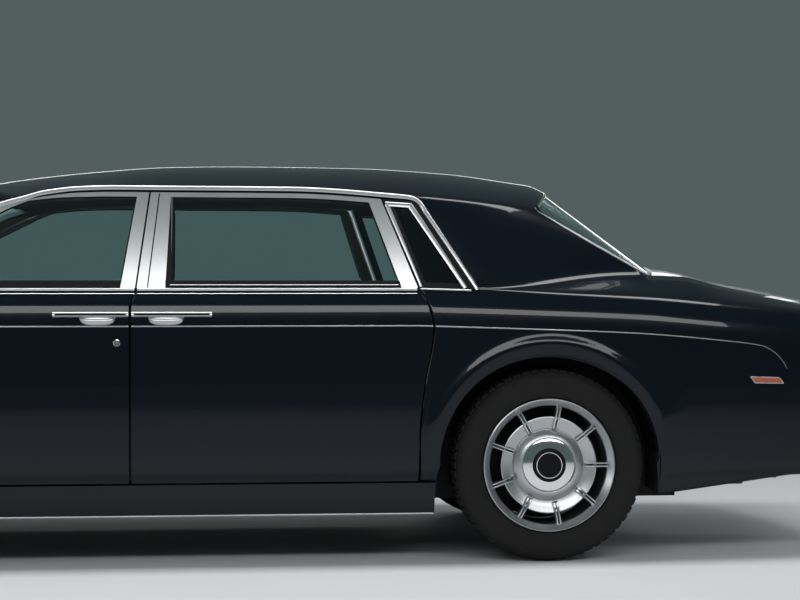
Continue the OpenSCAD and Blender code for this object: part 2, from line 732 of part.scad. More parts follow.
// Fixed window behind the rear door
function quarter_point(r, c) =
    let (zs = [belt_z + ledge_w / 4 + seam, belt_z + sash_h, quarter_top_z - frame_top_w,
        quarter_top_z - seam],
         z = zs[r], v = (z - belt_z) / (quarter_top_z - belt_z),
         xf = rear_door_edge(z) + panel_gap, xb = mix(quarter_back, quarter_head, v) - seam,
         xs = [xf, xf + quarter_front_w, xb - quarter_back_w, xb])
    skin(xs[c], z);
module quarter_frame() {
    outer = grid(3, 3, function (r, c) quarter_point(r, c));
    shell(outer, [for (row = outer) [for (p = row) p + [0, frame_t, 0]]], [[1, 1]]);
}
module fixed_glass() color("#4a5a60", 0.5) {
    both() quarter_glass();
    windscreen();
    rear_window();
}
module quarter_glass() {
    outer = [for (r = [1, 2]) [for (c = [1, 2])
        quarter_point(r, c) + [c == 1 ? seam : -seam, glass_set, r == 1 ? seam : -seam]]];
    shell(outer, [for (row = outer) [for (p = row) p + [0, glass_t, 0]]]);
}
module windscreen() {
    outer = grid(8, len(pillar_steps) - 1, function (r, c)
        let (w = -1 + r / 4, v = pillar_steps[c], e = screen_edge(v))
        [e[0] - seam - mix(screen_bow, header_bow, v) * (1 - w * w), -(e[1] + 2 * seam) * w,
         e[2] + mix(-screen_dip, header_rise, v) * (1 - w * w)]);
    shell(outer, [for (row = outer) [for (p = row) p + [glass_t, 0, -glass_t]]]);
}
module rear_window() {
    foot = quarter_line(rear_foot);
    outer = grid(8, 5, function (r, c)
        let (w = -1 + r / 4, v = c / 5,
             head = roof_point(1, w) - [0, 0, roof_edge_t + seam],
             base = [rear_foot + rear_foot_bow * (1 - w * w), (-foot[1] - seam) * w,
                 foot[2] + boot_crown * (1 - w * w)])
        mix(head, base, v) + [0, -seam * w, 0]);
    shell(outer, [for (row = outer) [for (p = row) p + [-glass_t, 0, -glass_t]]]);
}
module scuttle() color("#101215") {
    outer = grid(8, 2, function (r, c)
        let (w = -1 + r / 4, v = c / 2,
             e = screen_edge(0),
             reach = function (x) (bonnet_half(x) + panel_gap - seam) * w,
             lip = bonnet_point(0, w),
             front = [lip[0] + panel_gap, reach(bonnet_back + panel_gap), lip[2] - scuttle_drop],
             back = [e[0] - screen_gap - screen_bow * (1 - w * w), reach(e[0] - screen_gap),
                 e[2] - screen_dip * (1 - w * w)])
        mix(front, back, v));
    shell(outer, [for (row = outer) [for (p = row) p + [0, 0, -scuttle_t]]]);
}
// Hinge pin of the bonnet, from the left wing into the bonnet's edge
module bonnet_pin(r, len) translate([bonnet_back - bonnet_hinge_in, -bonnet_half(bonnet_back)
    - panel_gap - seam, bonnet_hinge_z])
    rotate([-90, 0, 0]) cylinder(r = r, h = len);
// Bonnet from its rear edge to the grille
function bonnet_point(v, w) = let (x = mix(bonnet_back, bonnet_nose, v) - mix(bonnet_bow, 0, v) * (1 - w * w))
    [x, bonnet_half(x) * w, bonnet_edge_z(x) + bonnet_crown * (1 - w * w)];
module bonnet() color("#14171c") {
    outer = grid(8, 8, function (r, c) bonnet_point(1 - c / 8, -1 + r / 4));
    difference() {
        shell(outer, [for (row = outer) [for (p = row) p + [0, 0, -bonnet_t]]]);
        both() bonnet_pin(pin_r + run_gap, pin_len + run_gap);
    }
}
// Boot lid: the deck, then the upright tail face
lid_turn_share = 0.8;
lid_drop_power = 0.8;
lid_lip_share = 0.6;
lid_face_shares = [1.1, 1.35, 1.65, 2];
function boot_point(t, w) =
    let (front = rear_foot + boot_gap, back = tail_x - boot_tail_in,
         bow = rear_foot_bow * (1 - w * w) * (1 - t),
         x = mix(front, back, min(1, t)) + (t <= 1 ? bow : boot_tail_in * sin(90 * (t - 1))),
         z = boot_edge_z(x) + boot_crown * (1 - w * w),
         sweep = tail_sweep * pow(boot_half(x) * w / tail_edge(coach_z), 2),
         turn = clamp(t - lid_turn_share) / (2 - lid_turn_share))
    [x - sweep * turn, boot_half(x) * w, t <= 1 ? z : mix(z, boot_low_z, pow(t - 1, lid_drop_power))];
module boot_lid() color("#14171c") {
    ts = concat(span(0, 1, 7), lid_face_shares);
    outer = grid(8, len(ts) - 1, function (r, c) boot_point(ts[c], -1 + r / 4));
    face = len(ts) - len(lid_face_shares);
    depth = function (c) c < face ? [0, 0, -boot_t]
        : c == face ? [-boot_t * lid_lip_share, 0, -boot_t * (2 - ts[c])]
        : [-boot_t, 0, c == len(ts) - 1 ? 0 : -boot_t * (2 - ts[c])];
    inner = grid(8, len(ts) - 1, function (r, c) outer[r][c] + depth(c) + [0, lid_draw * (1 - r / 4), 0]);
    difference() {
        shell(outer, inner);
        both() boot_hinge_slot();
    }
}
// Slot and bore in the lid's front edge for a hinge bracket and its pin
module boot_hinge_slot() translate([boot_hinge_x, -boot_hinge_y, boot_hinge_z]) {
    rotate([90, 0, 0]) cylinder(r = boot_pin_r + run_gap, h = bracket_w + 2 * (boot_pin_len + run_gap),
        center = true);
    translate([-over, -bracket_w / 2 - bracket_play, -over])
        cube([over + bracket_t / 2 + bracket_play, bracket_w + 2 * bracket_play,
            over + bracket_t / 2 + slot_gap]);
}
// Bracket from the parcel shelf to the lid, with its pin
module boot_hinge_bracket() {
    shelf_end = floor_back - floor_t + shelf_len;
    translate([shelf_end - bracket_in, -boot_hinge_y - bracket_w / 2, shelf_z - floor_t])
        cube([boot_hinge_x + bracket_t / 2 - shelf_end + bracket_in, bracket_w, floor_t]);
    translate([boot_hinge_x - bracket_t / 2, -boot_hinge_y - bracket_w / 2, shelf_z - floor_t])
        cube([bracket_t, bracket_w, boot_hinge_z - shelf_z + floor_t]);
    translate([boot_hinge_x, -boot_hinge_y, boot_hinge_z]) rotate([90, 0, 0]) {
        cylinder(r = bracket_t / 2, h = bracket_w, center = true);
        cylinder(r = boot_pin_r, h = bracket_w + 2 * boot_pin_len, center = true);
    }
}
// Front and rear faces below the lamps, rows upwards
module bumper_front() color("#14171c") {
    zs = [bumper_low_z, door_z, low_crease_z, grille_z - seam, bumper_z];
    ys = function (z) concat(span(-nose_edge(z), -grille_half - seam, 3), span(-grille_half / 2,
        grille_half / 2, 2),
                             span(grille_half + seam, nose_edge(z), 3));
    outer = grid(4, 10, function (r, c) nose_point(-ys(zs[r])[10 - c], zs[r]) + [r == 0 ? bumper_tuck : 0,
        0, 0]);
    inner = [for (row = outer) [for (p = row) p + [bumper_t, 0, 0]]];
    shell(outer, inner, [for (c = [3 : 6]) [3, c]]);
}
function tail_edge(z) = side_half(tail_corner, z) - wall_t - seam;
function tail_point(y, z) = [tail_x - tail_sweep * pow(y / tail_edge(z), 2), y, skin(tail_corner, z)[2]];
module bumper_rear() color("#14171c") {
    zs = [tail_low_z, (tail_low_z + boot_low_z) / 2, boot_low_z - panel_gap];
    outer = grid(2, 12, function (r, c) tail_point(mix(-tail_edge(zs[r]), tail_edge(zs[r]), c / 12), zs[r])
        - [r == 0 ? bumper_tuck : 0, 0, 0]);
    shell(outer, [for (row = outer) [for (p = row) p - [bumper_t, 0, 0]]]);
}
module rear_lamps() color("#8c1a14") both() {
    tail_lamp();
    side_marker();
}
module tail_lamp() {
    zs = span(tail_lamp_z + seam, tail_lamp_top_z - seam, 2);
    outer = grid(2, 2, function (r, c) let (ys = tail_ys(zs[r]))
        tail_point(-mix(ys[1] - seam, ys[2] + seam, c / 2), zs[r]));
    shell(outer, [for (row = outer) [for (p = row) p - [wall_t, 0, 0]]]);
}
module side_marker() {
    x0 = tail_x - marker_back;
    face = grid(1, 2, function (r, c)
        skin(x0 + marker_len * c / 2 - marker_h * r / 2, marker_z + marker_h * r, marker_out));
    shell(face, [for (row = face) [for (p = row) p + [0, marker_out - seam, 0]]]);
}
module grille() color("#b9bec4") translate([nose_x, 0, 0]) {
    difference() {
        translate([0, -grille_half, grille_z]) cube([grille_t, 2 * grille_half, grille_top_z - grille_z]);
        translate([-over, grille_frame_w - grille_half, grille_z + grille_frame_w])
            cube([grille_t + 2 * over, 2 * (grille_half - grille_frame_w),
                grille_top_z - grille_z - 2 * grille_frame_w]);
    }
    pitch = 2 * (grille_half - grille_frame_w) / (grille_bars + 1);
    for (i = [1 : grille_bars])
        translate([grille_bar_in, grille_frame_w - grille_half + pitch * i - grille_bar_t / 2,
            grille_z + grille_frame_w])
            cube([grille_t - 2 * grille_bar_in, grille_bar_t, grille_top_z - grille_z - 2 * grille_frame_w]);
}
// Sills between the arches, with the centre posts that the doors close on
module sills() color("#14171c") both() {
    x0 = front_axle + arch_r + sill_end;
    x1 = rear_axle - arch_r - sill_end;
    outer = grid(1, 8, function (r, c) skin(mix(x0, x1, c / 8), r == 0 ? sill_z : door_z - panel_gap));
    shell(outer, [for (row = outer) [for (p = row) [p[0], -floor_half, p[2]]]]);
    centre_post();
    wing_seat();
}
// Packing on the sill that the front wing is bolted down on
module wing_seat() {
    x0 = front_axle + arch_r + sill_end;
    translate([x0, -side_half(0, door_z) + seat_in, door_z - panel_gap + seam])
        cube([door_front - panel_gap - x0, wall_t - seat_in, panel_gap - 2 * seam]);
}
module centre_post() {
    zs = [door_z - panel_gap + seam, belt_z, (belt_z + frame_top_z) / 2, drip_z(split) - roof_t - seam];
    outer = grid(3, 1, function (r, c)
        let (z = zs[r], foot = side_half(0, belt_z) - door_t)
        [split_edge(z) + mix(-post_w / 2, post_w / 2, c), -min(side_half(0, z) - frame_t, foot) + post_gap,
            z]);
    shell(outer, [for (row = outer) [for (p = row) p + [0, post_t, 0]]]);
}
module floor_pan() color("#2a2c2f") {
    translate([floor_front, -floor_half + seam, sill_z + floor_up])
        cube([floor_back - floor_front, 2 * (floor_half - seam), floor_t]);
    translate([floor_front, -bulkhead_half, sill_z + floor_up]) cube([floor_t, 2 * bulkhead_half,
        bulkhead_top - sill_z - floor_up]);
    translate([floor_back - floor_t, -boot_half_in, sill_z + floor_up]) cube([floor_t, 2 * boot_half_in,
        shelf_z - sill_z - floor_up]);
    translate([floor_back - floor_t, -boot_half_in, boot_floor_z])
        cube([tail_x - bumper_t - tail_sweep - floor_back, 2 * boot_half_in, floor_t]);
    translate([floor_back - floor_t, -boot_half_in, shelf_z - floor_t]) cube([shelf_len, 2 * boot_half_in,
        floor_t]);
    both() boot_hinge_bracket();
    for (s = [-1, 1]) translate([nose_x + grille_t + rail_in, s * rail_y - rail_w / 2, rail_z])
        cube([floor_front - nose_x - grille_t - rail_in + floor_t, rail_w, rail_h]);
}
// Liner over a wheel: one whose rear end is trimmed by an angle has a tab to the panel at its top
module arch_liner(axle, from, trim) {
    edge = min(side_half(axle - arch_r, wheel_z), side_half(axle + arch_r, wheel_z)) - wall_t - seam;
    tab_end = side_half(axle, wheel_z + arch_r) - wall_t - 2 * seam;
    translate([axle, -from, wheel_z]) rotate([90, 0, 0]) rotate(trim) rotate_extrude(angle = 180 - trim)
        translate([arch_r + seam, 0]) square([liner_t, edge - from]);
    if (trim > 0) translate([axle - liner_tab_w, -tab_end, wheel_z + arch_r + seam])
        cube([liner_tab_w, tab_end - edge + over, liner_t]);
}
module arch_liners() color("#17181a") both() {
    arch_liner(front_axle, liner_front_in, 0);
    arch_liner(rear_axle, liner_rear_in, liner_trim);
}
// Wheel about its own axis, outer face up
module rim() {
    rotate_extrude() polygon([
        [rim_r - rim_wall - rim_lip, -rim_half], [rim_r, -rim_half], [rim_r, -rim_half + rim_lip],
        [rim_r - rim_lip, -rim_half + 2 * rim_lip], [rim_r - rim_lip, rim_half - 2 * rim_lip],
        [rim_r, rim_half - rim_lip], [rim_r, rim_half], [rim_r - rim_wall - rim_lip, rim_half]]);
    difference() {
        cylinder(r = plate_r, h = plate_z);
        translate([0, 0, -over]) cylinder(r = stub_r + run_gap, h = plate_z + over - plate_t);
    }
    translate([0, 0, plate_z]) difference() {
        cylinder(r = ring_r, h = ring_h);
        translate([0, 0, 0]) cylinder(r = ring_r - ring_w, h = ring_h + over);
    }
    translate([0, 0, plate_z]) cylinder(r = cap_r, h = cap_h);
    for (i = [0 : spokes - 1]) rotate(i * 360 / spokes) translate([ring_r - ring_w / 2, -spoke_w / 2,
        plate_z - spoke_t])
        cube([rim_r - rim_wall - ring_r + ring_w / 2, spoke_w, spoke_t + spoke_up]);
    translate([0, 0, -disc_t]) difference() {
        cylinder(r = disc_r, h = disc_t);
        translate([0, 0, -over]) cylinder(r = stub_r + run_gap, h = disc_t + 2 * over);
    }
}
module tyre() rotate_extrude() polygon([for (s = [-1, 1]) each
    [for (p = s < 0 ? tyre_shares : [for (i = [len(tyre_shares) - 1 : -1 : 0]) tyre_shares[i]])
        [mix(rim_r + seam, tyre_r, p[0]), s * p[1] * tyre_w / 2]]]);
tyre_shares = [[0, 0.84], [0.23, 0.96], [0.55, 1], [0.84, 0.97], [0.97, 0.8], [1, 0.5]];
module at_left(axle) translate([axle, -half_track, wheel_z]) rotate([90, 0, 0]) children();
module left_wheel(axle) color("#c3c7cb") at_left(axle) rim();
module left_tyre(axle) color("#191919") at_left(axle) tyre();
// Steered carrier of a front wheel, round its steering pin
module left_knuckle() color("#4c5054") {
    difference() {
        translate([front_axle, -king_y, wheel_z - knuckle_h / 2]) cylinder(r = knuckle_r, h = knuckle_h);
        translate([front_axle, -king_y, wheel_z - knuckle_h / 2 - over]) cylinder(r = king_r + run_gap,
            h = knuckle_h + 2 * over);
    }
    difference() {
        translate([front_axle, -king_y - king_r, wheel_z]) rotate([90, 0, 0]) cylinder(r = stub_r,
            h = stub_end - king_y - king_r);
        translate([front_axle, -king_y, wheel_z - stub_r - over]) cylinder(r = king_r + run_gap,
            h = 2 * (stub_r + over));
    }
}
module suspension() color("#3a3d40") {
    translate([front_axle - beam_w / 2, -arm_in, beam_z]) cube([beam_w, 2 * arm_in, beam_h]);
    both() {
        for (z = [wheel_z - knuckle_h / 2 - arm_gap - arm_t, wheel_z + knuckle_h / 2 + arm_gap])
            translate([front_axle - arm_w / 2, -king_y, z]) cube([arm_w, king_y - arm_in + beam_w / 2,
                arm_t]);
        translate([front_axle, -king_y, wheel_z - knuckle_h / 2 - arm_gap - arm_t])
            cylinder(r = king_r, h = knuckle_h + 2 * (arm_gap + arm_t));
        for (z = [wheel_z - knuckle_h / 2 - arm_gap - arm_t, wheel_z + knuckle_h / 2 + arm_gap])
            translate([front_axle, -king_y, z]) cylinder(r = arm_w / 2, h = arm_t);
        translate([front_axle - beam_w / 2, -arm_in, beam_z])
            cube([beam_w, beam_w / 2, wheel_z + knuckle_h / 2 + arm_gap + arm_t - beam_z]);
        translate([rear_axle, 0, wheel_z]) rotate([90, 0, 0]) cylinder(r = stub_r, h = stub_end);
        translate([rear_axle, -carrier_y, wheel_z]) rotate([90, 0, 0]) cylinder(r = knuckle_h / 4,
            h = carrier_t);
    }
    translate([rear_axle - beam_w, -arm_in, wheel_z - stub_r * 2]) cube([2 * beam_w, 2 * arm_in, stub_r * 4]);
}
module engine() color("#55585c") translate([front_axle - engine_ahead, -engine_w / 2,
    beam_z + beam_h + seam]) cube([engine_len, engine_w, engine_h]);
module exhaust() color("#7d8085") both() translate([exhaust_back, -exhaust_y, exhaust_z]) {
    rotate([0, 90, 0]) {
        cylinder(r = pipe_r, h = exhaust_len);
        translate([0, 0, silencer_in]) cylinder(r = silencer_r, h = silencer_len);
    }
    translate([exhaust_len - hanger_in, 0, 0]) cube([hanger_w, hanger_w / 3,
        boot_floor_z - exhaust_z - seam]);
}
// Lug with a cross bore, hanging from a face above it
module tow_eye(x, y, z, h) translate([x, y, z - seam - h]) difference() {
    translate([-eye_w / 2, -eye_t / 2, 0]) cube([eye_w, eye_t, h]);
    translate([0, 0, eye_w / 2]) rotate([90, 0, 0]) cylinder(r = eye_r, h = eye_t + 2 * over, center = true);
}
module tow_eyes() color("#3a3d40") {
    tow_eye(eye_back_x, -eye_back_y, boot_floor_z, eye_back_h);
    tow_eye(-eye_front_x, -rail_y, rail_z, eye_w);
}
module dashboard() color("#3b2c22") translate([floor_front + floor_t + seam, dash_half, 0]) rotate([90, 0,
    0]) linear_extrude(2 * dash_half)
    polygon([[0, dash_low], [dash_d * dash_foot_share, dash_low], [dash_d,
        dash_top - dash_d * dash_roll_share],
             [dash_d * dash_lip_share, dash_top], [0, dash_top]]);
module steering_wheel() color("#1b1b1b") translate([floor_front + steer_x, -driver_y, steer_z]) rotate([0,
    steer_tilt, 0]) {
    rotate_extrude() translate([steer_r, 0]) circle(steer_rim);
    cylinder(r = steer_rim * 3, h = steer_rim * 2, center = true);
    for (a = [0, 120, 240]) rotate(a) translate([steer_rim * 2, -steer_rim, -steer_rim / 2])
        cube([steer_r - steer_rim * 2, steer_rim * 2, steer_rim]);
    mirror([0, 0, 1]) cylinder(r = steer_rim, h = column_len);
}
// Seat from its side outline
module seat(x, half, y) {
    translate([x, y + half, seat_z]) rotate([90, 0, 0]) linear_extrude(2 * half)
        polygon([[0, 0], [cushion_len, 0], [cushion_len, cushion_h * cushion_edge_share],
                 [cushion_len * cushion_crown_share, cushion_h], [0, cushion_h * cushion_edge_share]]);
    translate([x + cushion_len + seam, y + half, seat_z]) rotate([90, 0, 0]) linear_extrude(2 * half)
        polygon([[0, 0], [back_t, 0], [back_t + back_lean, back_h], [back_lean + back_t * back_head_share,
            back_h], [0, cushion_h]]);
}
module front_seats() color("#c9b48f") both() seat(split - front_seat_back, seat_half, -driver_y);
module rear_seat() color("#c9b48f") seat(floor_back - rear_seat_ahead, bench_half, 0);
module door_front_left() front_door_panel();
module door_front_left_brightwork() front_door_brightwork();
module door_front_left_glass() front_door_glass();
module door_front_right() mirror([0, 1, 0]) front_door_panel();
module door_front_right_brightwork() mirror([0, 1, 0]) front_door_brightwork();
module door_front_right_glass() mirror([0, 1, 0]) front_door_glass();
module door_rear_left() rear_door_panel();
module door_rear_left_brightwork() rear_door_brightwork();
module door_rear_left_glass() rear_door_glass();
module door_rear_right() mirror([0, 1, 0]) rear_door_panel();
module door_rear_right_brightwork() mirror([0, 1, 0]) rear_door_brightwork();
module door_rear_right_glass() mirror([0, 1, 0]) rear_door_glass();
module knuckle_left() left_knuckle();
module knuckle_right() mirror([0, 1, 0]) left_knuckle();
module wheel_front_left() left_wheel(front_axle);
module wheel_front_right() mirror([0, 1, 0]) left_wheel(front_axle);
module wheel_rear_left() left_wheel(rear_axle);
module wheel_rear_right() mirror([0, 1, 0]) left_wheel(rear_axle);
module tyre_front_left() left_tyre(front_axle);
module tyre_front_right() mirror([0, 1, 0]) left_tyre(front_axle);
module tyre_rear_left() left_tyre(rear_axle);
module tyre_rear_right() mirror([0, 1, 0]) left_tyre(rear_axle);
floor_pan();
arch_liners();
sills();
bright_pillars();
roof();
front_wings();
rear_quarters();
scuttle();
bumper_front();
bumper_rear();
grille();
headlamps();
rear_lamps();
fixed_glass();
dashboard();
front_seats();
rear_seat();
steering_wheel();
engine();
suspension();
exhaust();
tow_eyes();
bonnet();
boot_lid();
door_front_left();
door_front_left_brightwork();
door_front_left_glass();
door_front_right();
door_front_right_brightwork();
door_front_right_glass();
door_rear_left();
door_rear_left_brightwork();
door_rear_left_glass();
door_rear_right();
door_rear_right_brightwork();
door_rear_right_glass();
knuckle_left();
knuckle_right();
wheel_front_left();
wheel_front_right();
wheel_rear_left();
wheel_rear_right();
tyre_front_left();
tyre_front_right();
tyre_rear_left();
tyre_rear_right();
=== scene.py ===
# %% [markdown]
# A long four-door saloon. The CAD frame gives the solids, the joints and the sizes. This lesson gives it
# its looks: smooth painted skins over the faceted panels, bright window frames, wheels, lamps and a cabin.

# %% Load the frame
import json
import math

import bmesh
import bpy
import numpy as np
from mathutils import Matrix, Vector


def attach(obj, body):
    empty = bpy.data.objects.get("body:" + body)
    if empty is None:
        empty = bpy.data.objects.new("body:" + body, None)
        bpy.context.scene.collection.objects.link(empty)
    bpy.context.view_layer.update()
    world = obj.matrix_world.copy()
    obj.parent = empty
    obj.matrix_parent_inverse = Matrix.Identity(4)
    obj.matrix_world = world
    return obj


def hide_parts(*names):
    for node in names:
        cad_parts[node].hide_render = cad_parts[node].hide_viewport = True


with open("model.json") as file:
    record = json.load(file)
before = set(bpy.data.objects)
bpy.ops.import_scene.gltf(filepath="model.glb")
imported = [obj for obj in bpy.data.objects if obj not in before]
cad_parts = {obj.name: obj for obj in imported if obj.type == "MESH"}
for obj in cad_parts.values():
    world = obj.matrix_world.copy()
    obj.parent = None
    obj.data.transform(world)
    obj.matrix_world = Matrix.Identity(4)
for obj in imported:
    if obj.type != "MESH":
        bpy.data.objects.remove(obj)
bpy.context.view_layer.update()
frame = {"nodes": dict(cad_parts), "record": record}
nodes = frame["nodes"]
MM = 0.001

# %% [markdown]
# The camera stands where the photograph was taken from: about nine metres out from the left side, a little
# above the belt, with a long lens. It was found from the wheel, the roof and the tail.

# %% Camera
camera_data = bpy.data.cameras.new("camera")
camera_data.lens = 95.4
camera_data.sensor_width = 36.0
camera = bpy.data.objects.new("camera", camera_data)
bpy.context.scene.collection.objects.link(camera)
camera.location = (0.179, -9.49, 1.15)
yaw, pitch = math.radians(5.79), math.radians(-0.54)
sight = Vector((math.sin(yaw) * math.cos(pitch), math.cos(yaw) * math.cos(pitch), math.sin(pitch)))
camera.rotation_mode = "QUATERNION"
camera.rotation_quaternion = sight.to_track_quat("-Z", "Y")
bpy.context.scene.camera = camera
bpy.context.scene.view_settings.view_transform = "Standard"
print("camera at", [round(v, 2) for v in camera.location])

# %% [markdown]
# Dark polished paint is almost only reflections, so the light matters as much as the paint. One long soft
# box hangs over the car and draws a line of light along the roof and the shoulder. A second stands on the
# camera's side, a thin one rims the far side, and two light the ends. The floor is plain and pale.

# %% Light
def soft_box(name, place, aim, size, power):
    data = bpy.data.lights.new(name, "AREA")
    data.shape = "RECTANGLE"
    data.size, data.size_y = size
    data.energy = power
    lamp = bpy.data.objects.new(name, data)
    bpy.context.scene.collection.objects.link(lamp)
    lamp.location = place
    lamp.rotation_mode = "QUATERNION"
    lamp.rotation_quaternion = (Vector(aim) - Vector(place)).to_track_quat("-Z", "Y")
    return lamp


soft_box("light_overhead", (0, -0.6, 5.4), (0, 0, 0), (9, 1.2), 300)
soft_box("light_near_side", (0.5, -9, 5.75), (0, 0, 0.9), (14, 1.6), 440)
soft_box("light_far_side", (0.5, 7, 2.3), (0, 0, 1.2), (11, 0.35), 34)
soft_box("light_front", (-11, -2, 3.2), (0, 0, 0.8), (4, 2.0), 170)
soft_box("light_rear", (11, 1, 3.2), (0, 0, 0.8), (4, 2.0), 150)

# %% Floor and surroundings
world = bpy.data.worlds.new("surroundings")
bpy.context.scene.world = world
world.use_nodes = True
sky = world.node_tree
sky.nodes.clear()
sky_out = sky.nodes.new("ShaderNodeOutputWorld")
sky_mix = sky.nodes.new("ShaderNodeMixShader")
sky_path = sky.nodes.new("ShaderNodeLightPath")
sky_seen, sky_light = sky.nodes.new("ShaderNodeBackground"), sky.nodes.new("ShaderNodeBackground")
sky_seen.inputs["Color"].default_value = (0.085, 0.115, 0.113, 1)
sky_light.inputs["Color"].default_value = (0.80, 0.86, 0.90, 1)
sky_light.inputs["Strength"].default_value = 0.30
seen = sky_path.outputs["Is Camera Ray"]
for ray in ("Is Glossy Ray", "Is Transmission Ray"):
    either = sky.nodes.new("ShaderNodeMath")
    either.operation = "MAXIMUM"
    sky.links.new(seen, either.inputs[0])
    sky.links.new(sky_path.outputs[ray], either.inputs[1])
    seen = either.outputs[0]
sky.links.new(seen, sky_mix.inputs["Fac"])
sky.links.new(sky_light.outputs[0], sky_mix.inputs[1])
sky.links.new(sky_seen.outputs[0], sky_mix.inputs[2])
sky.links.new(sky_mix.outputs[0], sky_out.inputs["Surface"])

# %% [markdown]
# Materials are node trees. Writing them node by node is long, so one small class wraps a socket: Python's
# operators on it add Math nodes, and one method makes any other node. Patterns read Object coordinates, which
# are metres on the car because every piece sits at the origin.

# %% A socket that can be used in expressions
class Sock:
    def __init__(self, tree, socket=None):
        self.tree, self.socket = tree, socket

    def make(self, kind, settings=None, sockets=None, out=0):
        node = self.tree.nodes.new("ShaderNode" + kind)
        for key, value in (settings or {}).items():
            setattr(node, key, value)
        for key, value in (sockets or {}).items():
            self.feed(node.inputs[key], value)
        return Sock(self.tree, node.outputs[out])

    def feed(self, socket, value):
        if isinstance(value, Sock):
            self.tree.links.new(value.socket, socket)
        elif hasattr(value, "__len__") and len(value) == 3 and socket.type == "RGBA":
            socket.default_value = (*value, 1)
        else:
            socket.default_value = value

    def maths(self, operation, *values):
        return self.make("Math", {"operation": operation}, dict(enumerate(values)))

    def __add__(self, other):
        return self.maths("ADD", self, other)

    def __sub__(self, other):
        return self.maths("SUBTRACT", self, other)

    def __rsub__(self, other):
        return self.maths("SUBTRACT", other, self)

    def __mul__(self, other):
        return self.maths("MULTIPLY", self, other)

    __radd__, __rmul__ = __add__, __mul__


# %% A material with its shader and the usual patterns
class Finish:
    def __init__(self, name, **constants):
        self.material = bpy.data.materials.new(name)
        self.material.use_nodes = True
        self.tree = self.material.node_tree
        self.shader = self.tree.nodes["Principled BSDF"]
        self.root = Sock(self.tree)
        self.place = self.root.make("TexCoord", out="Object")
        for key, value in constants.items():
            self.set(key.replace("_", " ").title().replace("Ior", "IOR"), value)

    def set(self, socket, value):
        self.root.feed(self.shader.inputs[socket], value)
        return self

    def noise(self, scale, detail=3.0, stretch=(1, 1, 1)):
        spread = self.root.make("Mapping", {"vector_type": "POINT"}, {"Vector": self.place, "Scale": stretch})
        return self.root.make("TexNoise", None, {"Vector": spread, "Scale": scale, "Detail": detail})

    def cells(self, scale):
        return self.root.make("TexVoronoi", {"feature": "F1"}, {"Vector": self.place, "Scale": scale})

    def between(self, share, low, high):
        return self.root.make("MapRange", None, {"Value": share, "To Min": low, "To Max": high})

    def tint(self, share, first, second):
        mixed = self.root.make("Mix", {"data_type": "RGBA"}, None, 2)
        node = mixed.socket.node
        for socket, value in zip((node.inputs[0], node.inputs[6], node.inputs[7]), (share, first, second)):
            self.root.feed(socket, value)
        return mixed

    def bump(self, height, strength, depth):
        return self.set("Normal", self.root.make("Bump", None, {"Height": height, "Strength": strength,
                                                                 "Distance": depth}))


# %% [markdown]
# The paint is a very dark blue-black under a clear coat. Its colour drifts a little, and the coat has the
# faint waviness called orange peel, which softens the edges of reflections.

# %% Paint
def car_paint():
    f = Finish("midnight_paint", coat_weight=0.45, coat_roughness=0.02, specular_ior_level=0.08)
    drift, flake = f.noise(1.3), f.cells(1400)
    f.set("Base Color", f.tint(drift * 0.6 + flake * 0.4, (0.0012, 0.0026, 0.0055), (0.0035, 0.0065, 0.0125)))
    f.set("Roughness", f.between(f.noise(5.0), 0.16, 0.24))
    return f.bump(f.noise(320.0, 1.0), 0.012, 0.0004).material


paint = car_paint()

# %% [markdown]
# Three bright metals: satin stainless steel for frames and pillars, which is brushed along the car, polished
# chrome for thin trim, and the cast metal of the wheels.

# %% Metals
def metal(name, colour, dark, rough, grain=(3, 90, 90), depth=0.00004):
    f = Finish(name, metallic=1.0)
    brushed, smudge = f.noise(9.0, 4.0, grain), f.noise(6.0)
    f.set("Base Color", f.tint(smudge * 0.5 + brushed * 0.3, colour, dark))
    f.set("Roughness", f.between(brushed * 0.7 + smudge * 0.3, rough * 0.75, rough * 1.3))
    return f.bump(brushed, 0.15, depth).material


satin_steel = metal("satin_steel", (0.60, 0.61, 0.62), (0.47, 0.48, 0.50), 0.30)
chrome = metal("chrome", (0.84, 0.85, 0.86), (0.74, 0.75, 0.77), 0.07, (1, 1, 1), 0.00001)
wheel_satin = metal("wheel_satin", (0.56, 0.57, 0.58), (0.44, 0.45, 0.46), 0.34, (20, 20, 20))
wheel_bright = metal("wheel_bright", (0.74, 0.75, 0.77), (0.60, 0.61, 0.63), 0.24, (20, 20, 20))
plain_steel = metal("plain_steel", (0.30, 0.30, 0.31), (0.17, 0.17, 0.17), 0.42, (14, 14, 14))
cast_metal = metal("cast_metal", (0.22, 0.22, 0.23), (0.12, 0.12, 0.12), 0.55, (30, 30, 30), 0.0003)

# %% [markdown]
# Glass is tinted grey-green. Lamp covers are clear or red, and the red ones have fine ribs moulded inside.

# %% Glass and lamps
def window_glass():
    f = Finish("tinted_glass", transmission_weight=1.0, ior=1.45)
    f.set("Base Color", f.tint(f.noise(1.1), (0.80, 0.955, 0.955), (0.76, 0.93, 0.935)))
    return f.set("Roughness", f.between(f.noise(14.0), 0.0, 0.015)).material


def clear_lens():
    f = Finish("clear_lens", transmission_weight=1.0, ior=1.45)
    f.set("Base Color", f.tint(f.noise(8.0), (0.96, 0.97, 0.97), (0.90, 0.92, 0.93)))
    return f.set("Roughness", f.between(f.noise(30.0), 0.0, 0.04)).material


def ribbed_lens(name, bright, deep):
    f = Finish(name, coat_weight=1.0, coat_roughness=0.03, transmission_weight=0.25)
    ribs = f.root.make("TexWave", {"bands_direction": "Z"}, {"Vector": f.place, "Scale": 75.0}, 1)
    f.set("Base Color", f.tint(ribs * 0.7 + f.noise(20.0) * 0.3, deep, bright))
    return f.set("Roughness", f.between(f.noise(40.0), 0.12, 0.25)).bump(ribs, 0.5, 0.0008).material


